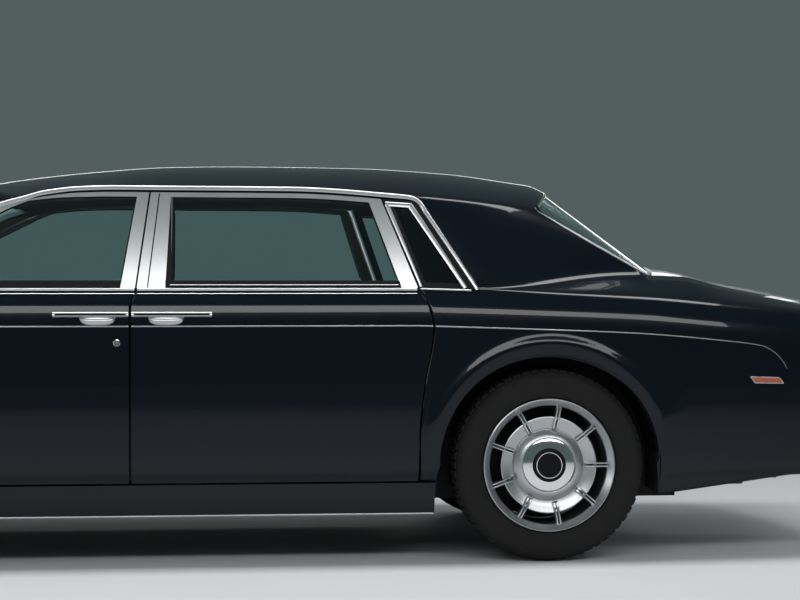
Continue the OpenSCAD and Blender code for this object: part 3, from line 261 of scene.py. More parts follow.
tinted_glass, lens_clear = window_glass(), clear_lens()
lens_red = ribbed_lens("red_lens", (0.52, 0.035, 0.02), (0.25, 0.008, 0.006))
lens_amber = ribbed_lens("side_marker_lens", (0.72, 0.16, 0.07), (0.42, 0.06, 0.025))

# %% [markdown]
# The dark and soft finishes: rubber with road dust, moulded black trim, sprayed underbody, veneer with its
# growth rings under lacquer, tan leather with pebble grain, cloth headlining and cut-pile carpet.

# %% Dark and soft finishes
def grained(name, first, second, rough, cells, depth, strength=0.4, gloss=0.3):
    f = Finish(name, specular_ior_level=gloss)
    grain, cloud = f.cells(cells), f.noise(7.0)
    f.set("Base Color", f.tint(cloud * 0.75 + grain * 0.25, first, second))
    f.set("Roughness", f.between(cloud * 0.6 + grain * 0.4, rough - 0.1, rough + 0.1))
    return f.bump(grain, strength, depth).material


def veneer():
    f = Finish("burr_veneer", coat_weight=1.0, coat_roughness=0.04)
    rings = {"Vector": f.place, "Scale": 6.0, "Distortion": 14.0, "Detail": 4.0, "Detail Scale": 2.2}
    figure = f.root.make("TexWave", {"wave_type": "RINGS"}, rings, 1)
    pores = f.noise(260.0, 2.0, (1, 0.2, 1))
    f.set("Base Color", f.tint(figure * 0.8 + pores * 0.2, (0.045, 0.015, 0.006), (0.20, 0.085, 0.032)))
    return f.set("Roughness", f.between(pores, 0.25, 0.4)).bump(pores, 0.1, 0.0002).material


rubber = grained("tyre_rubber", (0.007, 0.007, 0.0075), (0.016, 0.0155, 0.015), 0.78, 700, 0.0003, gloss=0.2)
black_trim = grained("black_trim", (0.0035, 0.0035, 0.004), (0.008, 0.008, 0.0085), 0.55, 1500, 0.0001,
                     gloss=0.12)
underbody = grained("underbody", (0.006, 0.006, 0.0065), (0.014, 0.0138, 0.013), 0.75, 260, 0.0008)
leather = grained("tan_leather", (0.30, 0.205, 0.115), (0.40, 0.285, 0.17), 0.46, 520, 0.0005)
piping = grained("seam_thread", (0.16, 0.10, 0.05), (0.22, 0.14, 0.075), 0.7, 1500, 0.0003)
carpet = grained("carpet", (0.010, 0.011, 0.013), (0.028, 0.029, 0.032), 0.92, 1100, 0.0015, 0.8)
headlining = grained("headlining", (0.05, 0.05, 0.053), (0.075, 0.075, 0.078), 0.92, 1300, 0.0006)
wood = veneer()

# %% Floor
floor_finish = Finish("pale_floor", specular_ior_level=0.3)
floor_tint = floor_finish.tint(floor_finish.noise(0.4), (0.62, 0.63, 0.64), (0.58, 0.59, 0.60))
floor_finish.set("Base Color", floor_tint)
floor_finish.set("Roughness", floor_finish.between(floor_finish.noise(2.0), 0.55, 0.7))
floor_mesh = bpy.data.meshes.new("floor")
FLOOR = 90.0
floor_corners = [(-FLOOR, -FLOOR, 0), (FLOOR, -FLOOR, 0), (FLOOR, FLOOR, 0), (-FLOOR, FLOOR, 0)]
floor_mesh.from_pydata(floor_corners, [], [(0, 1, 2, 3)])
floor_mesh.materials.append(floor_finish.material)
floor = bpy.data.objects.new("floor", floor_mesh)
bpy.context.scene.collection.objects.link(floor)
print("materials:", len(bpy.data.materials))

# %% [markdown]
# The body side of such a car is one smooth surface that every panel is cut from. The CAD source describes
# it with short tables. Here the same tables go through a monotone cubic curve, so that the reflections run
# without kinks. All lengths below are in millimetres, from the ground and the middle of the car.

# %% The surface of the sides
def smooth_curve(points):
    px, py = (np.array(v, float) for v in zip(*points))
    step = np.diff(py) / np.diff(px)
    slope = np.empty(len(px))
    slope[0], slope[-1] = step[0], step[-1]
    for i in range(1, len(px) - 1):
        same = step[i - 1] * step[i] > 0
        slope[i] = 2 * step[i - 1] * step[i] / (step[i - 1] + step[i]) if same else 0.0

    def curve(x):
        x = np.clip(np.asarray(x, float), px[0], px[-1])
        i = np.clip(np.searchsorted(px, x) - 1, 0, len(px) - 2)
        h = px[i + 1] - px[i]
        t = (x - px[i]) / h
        return (py[i] * (1 + 2 * t) * (1 - t) ** 2 + slope[i] * h * t * (1 - t) ** 2
                + py[i + 1] * t * t * (3 - 2 * t) - slope[i + 1] * h * t * t * (1 - t))

    return curve


def mix(a, b, t):
    return a + (b - a) * t


def clamp(t):
    return np.clip(t, 0.0, 1.0)


def ease(t):
    t = clamp(t)
    return t * t * (3 - 2 * t)


NOSE, TAIL, FRONT_AXLE, REAR_AXLE, WHEEL_Z, ARCH = -3042.0, 3042.0, -2162.0, 1658.0, 394.0, 456.0
DOOR_FRONT, SPLIT, DOOR_BACK, GAP = -1206.0, -36.0, 1120.0, 7.0
DOOR_Z, CREASE, BULGE, COACH, BELT, FRAME_TOP = 334.0, 398.0, 640.0, 963.0, 1118.0, 1512.0
BELT_HALF, HEAD_HALF, SIDE_BOW = 930.0, 778.0, 8.0
lower_half = smooth_curve([(195, 900), (DOOR_Z, 950), (CREASE, 985), (BULGE, 995), (COACH, 985), (1051, 968),
                           (1089, 945), (BELT, BELT_HALF)])
tail_fall = smooth_curve([(0, 0), (0.23, 14), (0.46, 32), (0.68, 67), (0.83, 95), (1, 140)])
nose_fall = smooth_curve([(0, 0), (0.27, 10), (0.6, 35), (0.87, 80), (1, 110)])


def falls(x):
    return tail_fall((x - DOOR_BACK) / (TAIL - DOOR_BACK)) + nose_fall((DOOR_FRONT - x) / (DOOR_FRONT - NOSE))


def frame_share(z):
    return (z - BELT) / (FRAME_TOP - BELT)


SWELL, SWELL_RING, SWELL_WIDE, SWELL_FOOT, SWELL_RISE = 12.0, 500.0, 30.0, 420.0, 220.0
NOSE_PULL, NOSE_RUN, TAIL_PULL, TAIL_RUN = 120.0, 1100.0, 150.0, 1500.0


def arch_crown(x, z):
    swell = 0.0
    for axle in (FRONT_AXLE, REAR_AXLE):
        r = np.hypot(x - axle, z - WHEEL_Z)
        ridge = SWELL * np.exp(-((r - SWELL_RING) / SWELL_WIDE) ** 2)
        swell = swell + ridge * ease((z - SWELL_FOOT) / SWELL_RISE)
    return swell


def side_half(x, z):
    share = frame_share(z)
    upper = mix(BELT_HALF, HEAD_HALF, share) + SIDE_BOW * 4 * share * (1 - share)
    return (np.where(z <= BELT, lower_half(z), upper) - NOSE_PULL * clamp(1 - (x - NOSE) / NOSE_RUN) ** 2
            - TAIL_PULL * clamp(1 - (TAIL - x) / TAIL_RUN) ** 2)


def skin(x, z, out=0.0):
    x, z = np.broadcast_arrays(np.asarray(x, float), np.asarray(z, float))
    drop = falls(x) * ease((z - BULGE) / (COACH - BULGE))
    return np.stack([x, -side_half(x, z) - arch_crown(x, z - drop) - out, z - drop], -1)


print("half width at the bulge", float(side_half(0.0, BULGE)), "and at the belt", float(side_half(0.0, BELT)))

# %% [markdown]
# Every panel is a closed shell between an outer and an inner grid of points. Its sharp rims get a small
# bevel, because no pressed sheet has a knife edge and the bevel catches the light. A panel on the right is
# the same grid mirrored, with its columns turned round so that its faces still point outwards.

# %% Panels from grids of points
def mirrored(grid):
    return np.asarray(grid)[:, ::-1] * np.array([1.0, -1.0, 1.0])


def finish_mesh(name, mesh, material, body, sharp=35.0):
    mesh.materials.append(material)
    mesh.shade_smooth()
    mesh.set_sharp_from_angle(angle=math.radians(sharp))
    piece = bpy.data.objects.new(name, mesh)
    bpy.context.scene.collection.objects.link(piece)
    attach(piece, body)
    return piece


def baked(piece):
    done = bpy.data.meshes.new_from_object(piece.evaluated_get(bpy.context.evaluated_depsgraph_get()))
    done.name = piece.data.name
    piece.modifiers.clear()
    piece.data = done
    return piece


def shells_mesh(name, pairs, holes=None):
    points, faces = [], []
    for k, (outer, inner) in enumerate(pairs):
        outer, inner = np.asarray(outer), np.asarray(inner)
        rows, cols = outer.shape[:2]
        base, back = len(points), rows * cols
        points.extend((outer.reshape(-1, 3) * MM).tolist())
        points.extend((inner.reshape(-1, 3) * MM).tolist())
        cut = (holes or {}).get(k, set())
        kept = {(r, c) for r in range(rows - 1) for c in range(cols - 1)} - cut
        for r, c in kept:
            p = base + r * cols + c
            q, s = p + 1, p + cols
            t = s + 1
            faces += [(p, q, t, s), (p + back, s + back, t + back, q + back)]
            beside = (((r - 1, c), p, q), ((r, c + 1), q, t), ((r + 1, c), t, s), ((r, c - 1), s, p))
            for near, a, b in beside:
                if near not in kept:
                    faces.append((a, a + back, b + back, b))
    mesh = bpy.data.meshes.new(name)
    mesh.from_pydata(points, [], faces)
    return mesh


def panel(name, pairs, material, body, stands_for=(), bevel=2.5, holes=None):
    piece = finish_mesh(name, shells_mesh(name, pairs, holes), material, body)
    if bevel:
        rim = piece.modifiers.new("rim", "BEVEL")
        rim.width, rim.segments, rim.limit_method = bevel * MM, 2, "ANGLE"
        rim.angle_limit, rim.harden_normals = math.radians(40), True
        baked(piece)
    if stands_for:
        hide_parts(*stands_for)
    return piece


def shifted(grid, x=0.0, y=0.0, z=0.0):
    return np.asarray(grid) + np.array([x, y, z])


def inset(outer, thick):
    return shifted(outer, 0.0, thick)


def at(curve, x):
    return float(curve(np.array(float(x))))


sides = (("left", np.asarray), ("right", mirrored))

# %% [markdown]
# The doors and the panels beside them are cut from that surface. Each door is as thick as the real one, so
# it looks whole when it stands open. The wings and quarters follow the wheel arches: their columns of points
# stand at even angles round the wheel, and each column starts at the arch's edge.

# %% Doors below the belt
DOOR_THICK, EDGE_SLANT, WINDSCREEN_TOP = 110.0, 18.0, 1487.0
KINK, KINK_FOOT, SPLIT_LEAN, BACK_LEAN = 22.0, 1051.0, 56.0, 150.0
levels = np.concatenate([np.linspace(DOOR_Z, CREASE, 7)[:-1], np.linspace(CREASE, BULGE, 9)[:-1],
                         np.linspace(BULGE, COACH, 11)[:-1], np.linspace(COACH, BELT, 17)])
rear_edge = smooth_curve([(DOOR_Z, DOOR_BACK), (506, DOOR_BACK), (726, 1140), (COACH, 1178), (1024, 1165),
                          (1059, 1156), (BELT, DOOR_BACK)])
windscreen_slope = smooth_curve([(BELT, DOOR_FRONT), (1291, -892), (1402, -656), (1446, -561),
                                 (WINDSCREEN_TOP, -420)])


def front_edge(z):
    return np.where(z <= BELT, DOOR_FRONT, windscreen_slope(z))


def split_edge(z):
    kink = KINK * clamp((z - KINK_FOOT) / (BELT - KINK_FOOT))
    return SPLIT + kink + SPLIT_LEAN * np.maximum(0.0, frame_share(z))


def door_back_edge(z):
    return np.where(z <= BELT, rear_edge(z), DOOR_BACK - BACK_LEAN * (z - BELT) / (FRAME_TOP - BELT))


def front_door_back(z):
    return split_edge(z) - GAP


def door_grid(front, back, heights, cols=28):
    across = np.linspace(0, 1, cols + 1)[None, :]
    z = heights[:, None]
    return skin(mix(front(z), back(z), across), z)


def slanted(outer, thick):
    inner = inset(outer, thick)
    inner[:, 0, 0] += EDGE_SLANT
    inner[:, -1, 0] -= EDGE_SLANT
    return inner


door_edges = {"front": (front_edge, front_door_back), "rear": (split_edge, door_back_edge)}
for end, (front, back) in door_edges.items():
    outer = door_grid(front, back, levels)
    for side, turn in sides:
        node = f"door_{end}_{side}"
        panel(f"{node}_skin", [(turn(outer), turn(slanted(outer, DOOR_THICK)))], paint, node, [node])
print("doors: 4 skins of", outer.shape[0] * outer.shape[1], "points")

# %% Wings and quarters
BONNET_FRONT, BONNET_BACK, BONNET_HALVES = -2967.0, -1417.0, (560.0, 830.0)
REAR_FOOT, BOOT_TOP, BOOT_HALVES = 2122.0, 1168.0, (690.0, 600.0)
NOSE_TURN, LEAD = -2832.0, 6


def arch_columns(axle):
    angle = np.linspace(math.pi, 0.0, 31)
    return axle + ARCH * np.cos(angle), WHEEL_Z + ARCH * np.sin(angle)


def bonnet_half(x):
    return mix(*BONNET_HALVES, (x - BONNET_FRONT) / (BONNET_BACK - BONNET_FRONT))


def belt_height(x):
    return BELT - falls(x)


def boot_share(x):
    return clamp((x - REAR_FOOT) / (TAIL - REAR_FOOT))


boot_fall = smooth_curve([(0, 0), (0.15, 3), (0.35, 45), (0.6, 87), (0.8, 124.5), (0.93, 150), (1, 168)])


def boot_half(x):
    return mix(*BOOT_HALVES, boot_share(x))


def boot_edge_z(x):
    return BOOT_TOP - boot_fall(boot_share(x))


def side_rows(x, low):
    share = (levels - DOOR_Z) / (COACH - DOOR_Z)
    z = np.where(levels[:, None] >= COACH, levels[:, None], mix(low[None, :], COACH, share[:, None]))
    return np.broadcast_to(x[None, :], z.shape).copy(), z


def side_panel(x, low, first=None):
    px, z = side_rows(x, low)
    if first is not None:
        for c in range(LEAD):
            px[:, c] = mix(first(z[:, c]), px[:, LEAD], c / LEAD)
    return skin(px, z)


front_x, front_low = arch_columns(FRONT_AXLE)
wing_x = np.concatenate([np.linspace(NOSE_TURN, front_x[0], 9)[:-1], front_x,
                         np.linspace(front_x[-1], DOOR_FRONT - GAP, 10)[1:]])
wing_low = np.concatenate([np.full(8, DOOR_Z), front_low, np.full(9, DOOR_Z)])
wing = side_panel(wing_x, wing_low)
print("wing", wing.shape)

# %% [markdown]
# Behind the doors the quarter, the broad rear pillar and the roof are one welded skin with no joint to be
# seen. Their grids are made one by one, merged at their shared edges, and the creases between them are
# relaxed so that the light flows over. Only then does the skin get its thickness.

# %% Roof, pillars and quarters as one skin
ROOF_FRONT, HEADER, ROOF_BACK, ROOF_BACK_HALF = -548.0, -420.0, 1644.0, 655.0
QUARTER_HEAD, QUARTER_BACK, TAIL_CORNER, TAIL_TURN = 1128.0, 1358.0, 2932.0, 2862.0
ARCH_BACK, BEHIND_WHEEL, TAIL_LOW = REAR_AXLE + ARCH, 265.0, 339.0
CORNER_IN, CHEEK_IN, TAIL_BOW, FRONT_BOW, BACK_BOW = 45.0, 70.0, 110.0, 250.0, 130.0
DRIP_START, PILLAR_SWELL, SKIN_WALL, RELAX_STEPS = -0.062, 10.0, 18.0, 6
drip_line = smooth_curve([(DRIP_START, 1482), (0, 1506), (0.04, 1520), (0.0775, 1529), (0.15, 1534),
                          (0.25, 1533), (0.5, 1530.7), (0.75, 1496.2), (1, 1452)])
roof_crown = smooth_curve([(0, 1539), (0.08, 1581.5), (0.2, 1622), (0.32, 1645), (0.44, 1649.3),
                           (0.66, 1645), (0.83, 1622), (0.94, 1585), (0.975, 1571), (1, 1542)])


def drip_z(x):
    return drip_line(np.clip((x - HEADER) / (ROOF_BACK - HEADER), DRIP_START, 1.0))


def roof_edge(x):
    z = drip_z(x)
    draw_in = clamp((x - QUARTER_HEAD) / (ROOF_BACK - QUARTER_HEAD)) ** 2
    half = mix(side_half(0.0 * x, z), ROOF_BACK_HALF, draw_in)
    return np.stack([x, -half, z], -1)


def roof_point(x, w):
    edge = roof_edge(x)
    u = (x - ROOF_FRONT) / (ROOF_BACK - ROOF_FRONT)
    bow = np.where(u < 0.5, -FRONT_BOW * (1 - 2 * u) ** 2, BACK_BOW * (2 * u - 1) ** 2)
    z = mix(edge[..., 2], roof_crown(u), 1 - np.abs(w) ** 2.4)
    return np.stack([edge[..., 0] + bow * (1 - w * w), -edge[..., 1] * w, z], -1)


def tail_edge(z):
    return side_half(TAIL_CORNER, z) - CORNER_IN


def tail_face(y, z):
    x = TAIL - TAIL_BOW * (y / tail_edge(z)) ** 2
    return np.stack([x, y, skin(np.full_like(z, TAIL_CORNER), z)[..., 2]], -1)


def bend(a, b, c, t):
    return a * (1 - t) ** 2 + b * 2 * t * (1 - t) + c * t * t


def turned_corner(start, end, knee_x, knee_y):
    knee = np.stack([np.full_like(knee_y, knee_x), knee_y, mix(start[:, 2], end[:, 2], 0.5)], -1)
    return np.stack([bend(start, knee, end, t) for t in np.linspace(0, 1, 9)], 1)


def tail_corner(z):
    end = tail_face(-(tail_edge(z) - CHEEK_IN), z)
    return turned_corner(skin(TAIL_TURN, z), end, 2948.0, skin(TAIL_CORNER, z)[:, 1])


def crest(x):
    t = ease((x - QUARTER_BACK) / (REAR_FOOT - QUARTER_BACK))
    p = x + 49.8 * clamp((x - ARCH_BACK) / (TAIL_CORNER - ARCH_BACK))
    y = -mix(side_half(x, BELT) - 8.0, boot_half(p) + GAP, t)
    return np.stack([p, y, mix(belt_height(x) + 2.0, boot_edge_z(p), t)], -1)


angle = np.linspace(math.pi, 0.0, 36)
angle = np.sort(np.append(angle, math.acos((QUARTER_BACK - REAR_AXLE) / ARCH)))[::-1]
rear_x, rear_low = REAR_AXLE + ARCH * np.cos(angle), WHEEL_Z + ARCH * np.sin(angle)
behind_x = np.linspace(REAR_FOOT, TAIL_TURN, 14)
behind_low = mix(BEHIND_WHEEL, TAIL_LOW, clamp((behind_x - ARCH_BACK) / 573.0))
quarter_x = np.concatenate([np.full(LEAD, DOOR_BACK + GAP), rear_x, behind_x])
quarter_low = np.concatenate([np.full(LEAD, DOOR_Z), rear_low, behind_low])
quarter = side_panel(quarter_x, quarter_low, lambda z: door_back_edge(z) + GAP)
tail_low = mix(TAIL_LOW, COACH, (levels - DOOR_Z) / (COACH - DOOR_Z))
corner = tail_corner(np.where(levels >= COACH, levels, tail_low))
quarter = np.concatenate([quarter, corner[:, 1:]], 1)
brow = crest(np.minimum(quarter[-1, :, 0], TAIL_CORNER))
roll_knee = shifted(mix(quarter[-1], brow, 0.35), z=7.0)
roll = np.stack([bend(quarter[-1], roll_knee, brow, t) for t in np.linspace(0, 1, 6)], 0)
first = int(np.argmin(np.abs(quarter_x - QUARTER_BACK)))
last = int(np.argmin(np.abs(quarter_x - REAR_FOOT)))
foot = brow[first:last + 1]
share = (quarter_x[first:last + 1] - QUARTER_BACK) / (REAR_FOOT - QUARTER_BACK)
head_x = mix(QUARTER_HEAD, ROOF_BACK, share)
head = roof_edge(head_x)


def pillar_row(v):
    swell = PILLAR_SWELL * 16 * v * (1 - v) * share * (1 - share)
    return mix(foot, head, v) - np.stack([0 * share, swell, 0 * share], -1)


pillar = np.stack([pillar_row(v) for v in np.linspace(0, 1, 15)], 0)
roof_x = np.concatenate([np.linspace(ROOF_FRONT, QUARTER_HEAD, 34)[:-1], head_x])
across_roof = np.sin(np.linspace(-math.pi / 2, math.pi / 2, 33))
roof = np.stack([roof_point(roof_x, np.full_like(roof_x, w)) for w in across_roof], 0)


def skin_mesh(name, grids):
    build = bmesh.new()
    for grid in grids:
        grid = np.asarray(grid)
        made = [[build.verts.new(p) for p in row] for row in (grid * MM).tolist()]
        for r in range(len(made) - 1):
            for c in range(len(made[0]) - 1):
                build.faces.new((made[r][c], made[r][c + 1], made[r + 1][c + 1], made[r + 1][c]))
    bmesh.ops.remove_doubles(build, verts=build.verts, dist=0.0006)
    bmesh.ops.dissolve_degenerate(build, dist=0.0002, edges=build.edges)
    sharp = [e for e in build.edges if len(e.link_faces) == 2 and e.calc_face_angle(0) > 0.16]
    creased = {v for e in sharp for v in e.verts}
    for _ in range(2):
        creased |= {n for v in creased for e in v.link_edges for n in e.verts}
    inner = [v for v in build.verts if v in creased and not v.is_boundary and v.co.z > 0.95]
    for _ in range(RELAX_STEPS):
        bmesh.ops.smooth_vert(build, verts=inner, factor=0.5, use_axis_x=True, use_axis_y=True, use_axis_z=True)
    mesh = bpy.data.meshes.new(name)
    build.to_mesh(mesh)
    build.free()
    return mesh


def sheet_metal(name, grids, stands_for=()):
    piece = finish_mesh(name, skin_mesh(name, grids), paint, "body", 60.0)
    wall = piece.modifiers.new("wall", "SOLIDIFY")
    wall.thickness, wall.offset, wall.use_even_offset = SKIN_WALL * MM, -1.0, False
    baked(piece)
    if stands_for:
        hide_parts(*stands_for)
    return piece


left_skin = [quarter, roll, pillar]
all_skin = [roof] + [turn(g) for side, turn in sides for g in left_skin]
sheet_metal("body_skin", all_skin, ["roof", "rear_quarters"])
print("body skin:", sum(g.shape[0] * g.shape[1] for g in all_skin), "points")

# %% [markdown]
# The window frames are broad pressings of satin stainless steel round dark-edged glass. Each is a grid with
# the window's cells left out. The rows and columns crowd together near the window, and a thin rubber seal runs
# round the edge of the glass.

# %% Window frames, glass and seals
SASH, TOP_RAIL, HEAD_GAP = 22.0, 19.0, 25.0
FRAME_DEEP, FRAME_PROUD, PANE_IN, PANE_THICK = 45.0, 1.0, 13.0, 6.0
frame_widths = {"front": (lambda z: 74.0 + 0 * z, lambda z: 58.0 - 12.0 * frame_share(z)),
                "rear": (lambda z: 138.0 - 56.0 * frame_share(z), lambda z: 67.0 - 12.0 * frame_share(z))}


def frame_head_x(edge):
    top = WINDSCREEN_TOP if edge is front_edge else FRAME_TOP
    return at(edge, drip_z(edge(np.array(top))) - HEAD_GAP)


def frame_grid(front, back, front_w, back_w):
    x0, x1 = frame_head_x(front), frame_head_x(back)
    inside = np.linspace(0, 1, 15)

    def places(a, b, z):
        lead, trail = np.linspace(a, a + front_w(z), 4), np.linspace(b - back_w(z), b, 4)
        return np.concatenate([lead[:-1], mix(lead[-1], trail[0], inside), trail[1:]])

    head = drip_z(places(x0, x1, FRAME_TOP)) - HEAD_GAP
    low, high = BELT + SASH, head - TOP_RAIL
    rows = [np.full_like(head, BELT + 0.4), np.full_like(head, BELT + 0.5 * SASH), np.full_like(head, low)]
    rows += [mix(low, high, t) for t in np.linspace(0, 1, 13)[1:]] + [mix(high, head, 0.5), head]
    z = np.stack(rows, 0)
    x = np.stack([places(float(front(row[:1])[0]), float(back(row[-1:])[0]), row[-1]) for row in z], 0)
    hole = {(r, c) for r in range(2, len(rows) - 3) for c in range(3, 3 + len(inside) - 1)}
    return skin(x, z, FRAME_PROUD), hole


def window_parts(end, front, back):
    grid, hole = frame_grid(front, back, *frame_widths[end])
    pane = inset(grid[2:-2, 3:-3], PANE_IN)
    for side, turn in sides:
        body = f"door_{end}_{side}"
        flip = hole if side == "left" else {(r, grid.shape[1] - 2 - c) for r, c in hole}
        panel(f"{body}_frame", [(turn(grid), turn(slanted(grid, FRAME_DEEP)))], satin_steel, body,
              [f"{body}_brightwork"], 3.0, {0: flip})
        panel(f"{body}_pane", [(turn(pane), turn(inset(pane, PANE_THICK)))], tinted_glass, body,
              [f"{body}_glass"], 0)
        tube(f"{body}_seal", rim_of(turn(pane)), 6.0, black_trim, body)
    return grid


def rim_of(grid):
    return np.concatenate([grid[0, :-1], grid[:-1, -1], grid[-1, :0:-1], grid[:0:-1, 0]])


def net_faces(rows, cols, looped=False, wrapped=True):
    faces = []
    for r in range(rows if looped else rows - 1):
        for c in range(cols if wrapped else cols - 1):
            s, d = (r + 1) % rows, (c + 1) % cols
            faces.append((r * cols + c, r * cols + d, s * cols + d, s * cols + c))
    return faces


def mesh_of(name, points, faces, outwards=False):
    mesh = bpy.data.meshes.new(name)
    mesh.from_pydata(points.tolist(), [], faces)
    if outwards:
        build = bmesh.new()
        build.from_mesh(mesh)
        bmesh.ops.recalc_face_normals(build, faces=build.faces)
        build.to_mesh(mesh)
        build.free()
    return mesh


def tube(name, path, radius, material, body, closed=True, sides_n=8, squash=(1.0, 1.0)):
    path = np.asarray(path) * MM
    n = len(path)
    ahead = np.roll(path, -1, 0) - np.roll(path, 1, 0) if closed else np.gradient(path, axis=0)
    ahead /= np.linalg.norm(ahead, axis=1)[:, None] + 1e-12
    centre = path.mean(0)
    outwards = np.array([0.0, np.sign(centre[1]) or 1.0, 0.0])
    if abs(centre[1]) < 0.2:
        outwards = np.array([0.0, 0.0, 1.0])
    first = outwards - ahead * (ahead @ outwards)[:, None]
    first /= np.linalg.norm(first, axis=1)[:, None] + 1e-12
    second = np.cross(ahead, first)
    turns = np.linspace(0, 2 * math.pi, sides_n, endpoint=False)
    wide, tall = squash
    ring = [path + radius * MM * (math.cos(a) * wide * first + math.sin(a) * tall * second) for a in turns]
    faces = net_faces(n, sides_n, closed)
    if not closed:
        faces += [tuple(range(sides_n))[::-1], tuple((n - 1) * sides_n + k for k in range(sides_n))]
    mesh = mesh_of(name, np.stack(ring, 1).reshape(-1, 3), faces, True)
    return finish_mesh(name, mesh, material, body, 50.0)


frames = {end: window_parts(end, *edges) for end, edges in door_edges.items()}
print("window frames:", {k: g.shape[:2] for k, g in frames.items()})

# %% [markdown]
# The front wings turn the corner into the nose, and their tops roll over to the bonnet. The bonnet and the
# boot lid are crowned lids with an even gap all round. The bumpers close the body below them.

# %% Wings, nose and bonnet
NOSE_CORNER, NOSE_FLAT, NOSE_BOW, ARCH_FRONT = -2892.0, -3012.0, 120.0, FRONT_AXLE - ARCH
LAMP_IN, LAMP_OUT, LAMP_LOW, LAMP_HIGH, GRILLE_HALF = 480.0, 790.0, 770.0, 930.0, 390.0
BONNET_CROWN, BONNET_POWER = 42.0, 2.2


def nose_edge(z):
    return side_half(NOSE_CORNER, z) - CORNER_IN


def nose_face(y, z):
    x = NOSE_FLAT + NOSE_BOW * (y / nose_edge(z)) ** 2
    return np.stack([x, y, skin(np.full_like(z, NOSE_CORNER), z)[..., 2]], -1)


def nose_corner(z):
    start = nose_face(-(nose_edge(z) - CHEEK_IN), z)
    return turned_corner(start, skin(NOSE_TURN, z), -2915.0, skin(NOSE_CORNER, z)[:, 1])


def wing_crest(x):
    p = x - 66.7 * clamp((ARCH_FRONT - x) / (ARCH_FRONT - NOSE_CORNER))
    return np.stack([p, -bonnet_half(p) - GAP, belt_height(p)], -1)


wing = np.concatenate([nose_corner(levels)[:, :-1], wing], 1)
wing_brow = wing_crest(np.maximum(wing[-1, :, 0], NOSE_CORNER))
wing_knee = shifted(mix(wing[-1], wing_brow, 0.3), z=8.0)
wing_roll = np.stack([bend(wing[-1], wing_knee, wing_brow, t) for t in np.linspace(0, 1, 7)], 0)
cheek_z = np.concatenate([np.linspace(700.4, LAMP_LOW, 4), np.linspace(LAMP_LOW, LAMP_HIGH, 9)[1:],
                          np.linspace(LAMP_HIGH, 1060, 6)[1:]])


def lamp_end(z):
    return min(LAMP_OUT, float(nose_edge(z)) - 78.0)


def cheek_y(z):
    edge = float(nose_edge(z)) - CHEEK_IN
    return np.concatenate([np.linspace(GRILLE_HALF + 0.4, LAMP_IN, 4), np.linspace(LAMP_IN, lamp_end(z), 8)[1:],
                           np.linspace(lamp_end(z), edge, 3)[1:]])


cheek = np.stack([nose_face(-cheek_y(z), np.full(13, z)) for z in cheek_z], 0)
roll_front = wing_roll[::-1, 0] if wing_roll[0, 0, 1] > wing_roll[-1, 0, 1] else wing_roll[:, 0]
cheek_brow = cheek[-1].copy()
under_bonnet = np.abs(cheek_brow[:, 1]) < BONNET_HALVES[0] + GAP
brow_share = np.minimum(1, np.abs(cheek_brow[:, 1]) / BONNET_HALVES[0])
bonnet_under = belt_height(np.array(BONNET_FRONT)) + BONNET_CROWN * (1 - brow_share ** BONNET_POWER) - 36.0
for axis in (0, 2):
    on_roll = np.interp(cheek_brow[:, 1], roll_front[:, 1], roll_front[:, axis])
    cheek_brow[:, axis] = np.where(under_bonnet, bonnet_under if axis == 2 else cheek_brow[:, 0], on_roll)
cheek_rise = np.stack([mix(cheek[-1], cheek_brow, t) for t in np.linspace(0, 1, 4)], 0)
cheek_parts = (cheek[:4], cheek[11:], cheek[3:12, :4], cheek[3:12, 10:], cheek_rise)
sheet_metal("front_wings_skin", [turn(g) for side, turn in sides for g in (wing, wing_roll, *cheek_parts)],
            ["front_wings"])


def bonnet_point(v, w):
    x = mix(BONNET_BACK, BONNET_FRONT, v) - 50.0 * (1 - v) * (1 - w * w)
    crown = BONNET_CROWN * (1 - np.abs(w) ** BONNET_POWER)
    ridge = 7.0 * np.exp(-(w / 0.12) ** 2)
    return np.stack([x, bonnet_half(x) * w, belt_height(x) + crown + ridge], -1)


across_bonnet = np.sin(np.linspace(-math.pi / 2, math.pi / 2, 37))
bonnet = np.stack([bonnet_point(np.linspace(1, 0, 41), np.full(41, w)) for w in across_bonnet], 0)
panel("bonnet_skin", [(bonnet, shifted(bonnet, z=-30.0))], paint, "bonnet", ["bonnet"], 4.0)

# %% Boot lid and tail
BOOT_FRONT, BOOT_EDGE, BOOT_FOOT, BOOT_WALL = 2134.0, 2982.0, 660.0, 32.0
GLASS_BOW, BOOT_CROWN, BOOT_OUT = 96.0, 34.0, 60.0


def boot_point(t, w):
    on_top, down = GLASS_BOW * (1 - w * w) * (1 - t), BOOT_OUT * np.sin(np.pi / 2 * (t - 1))
    x = mix(BOOT_FRONT, BOOT_EDGE, np.minimum(1, t)) + np.where(t <= 1, on_top, down)
    z = boot_edge_z(x) + BOOT_CROWN * (1 - w * w)
    y = boot_half(x) * w
    low = np.where(t <= 1, z, mix(z, BOOT_FOOT, clamp(t - 1) ** 0.8))
    return np.stack([x - TAIL_BOW * (y / 811.0) ** 2 * clamp((t - 0.8) / 1.2), y, low], -1)


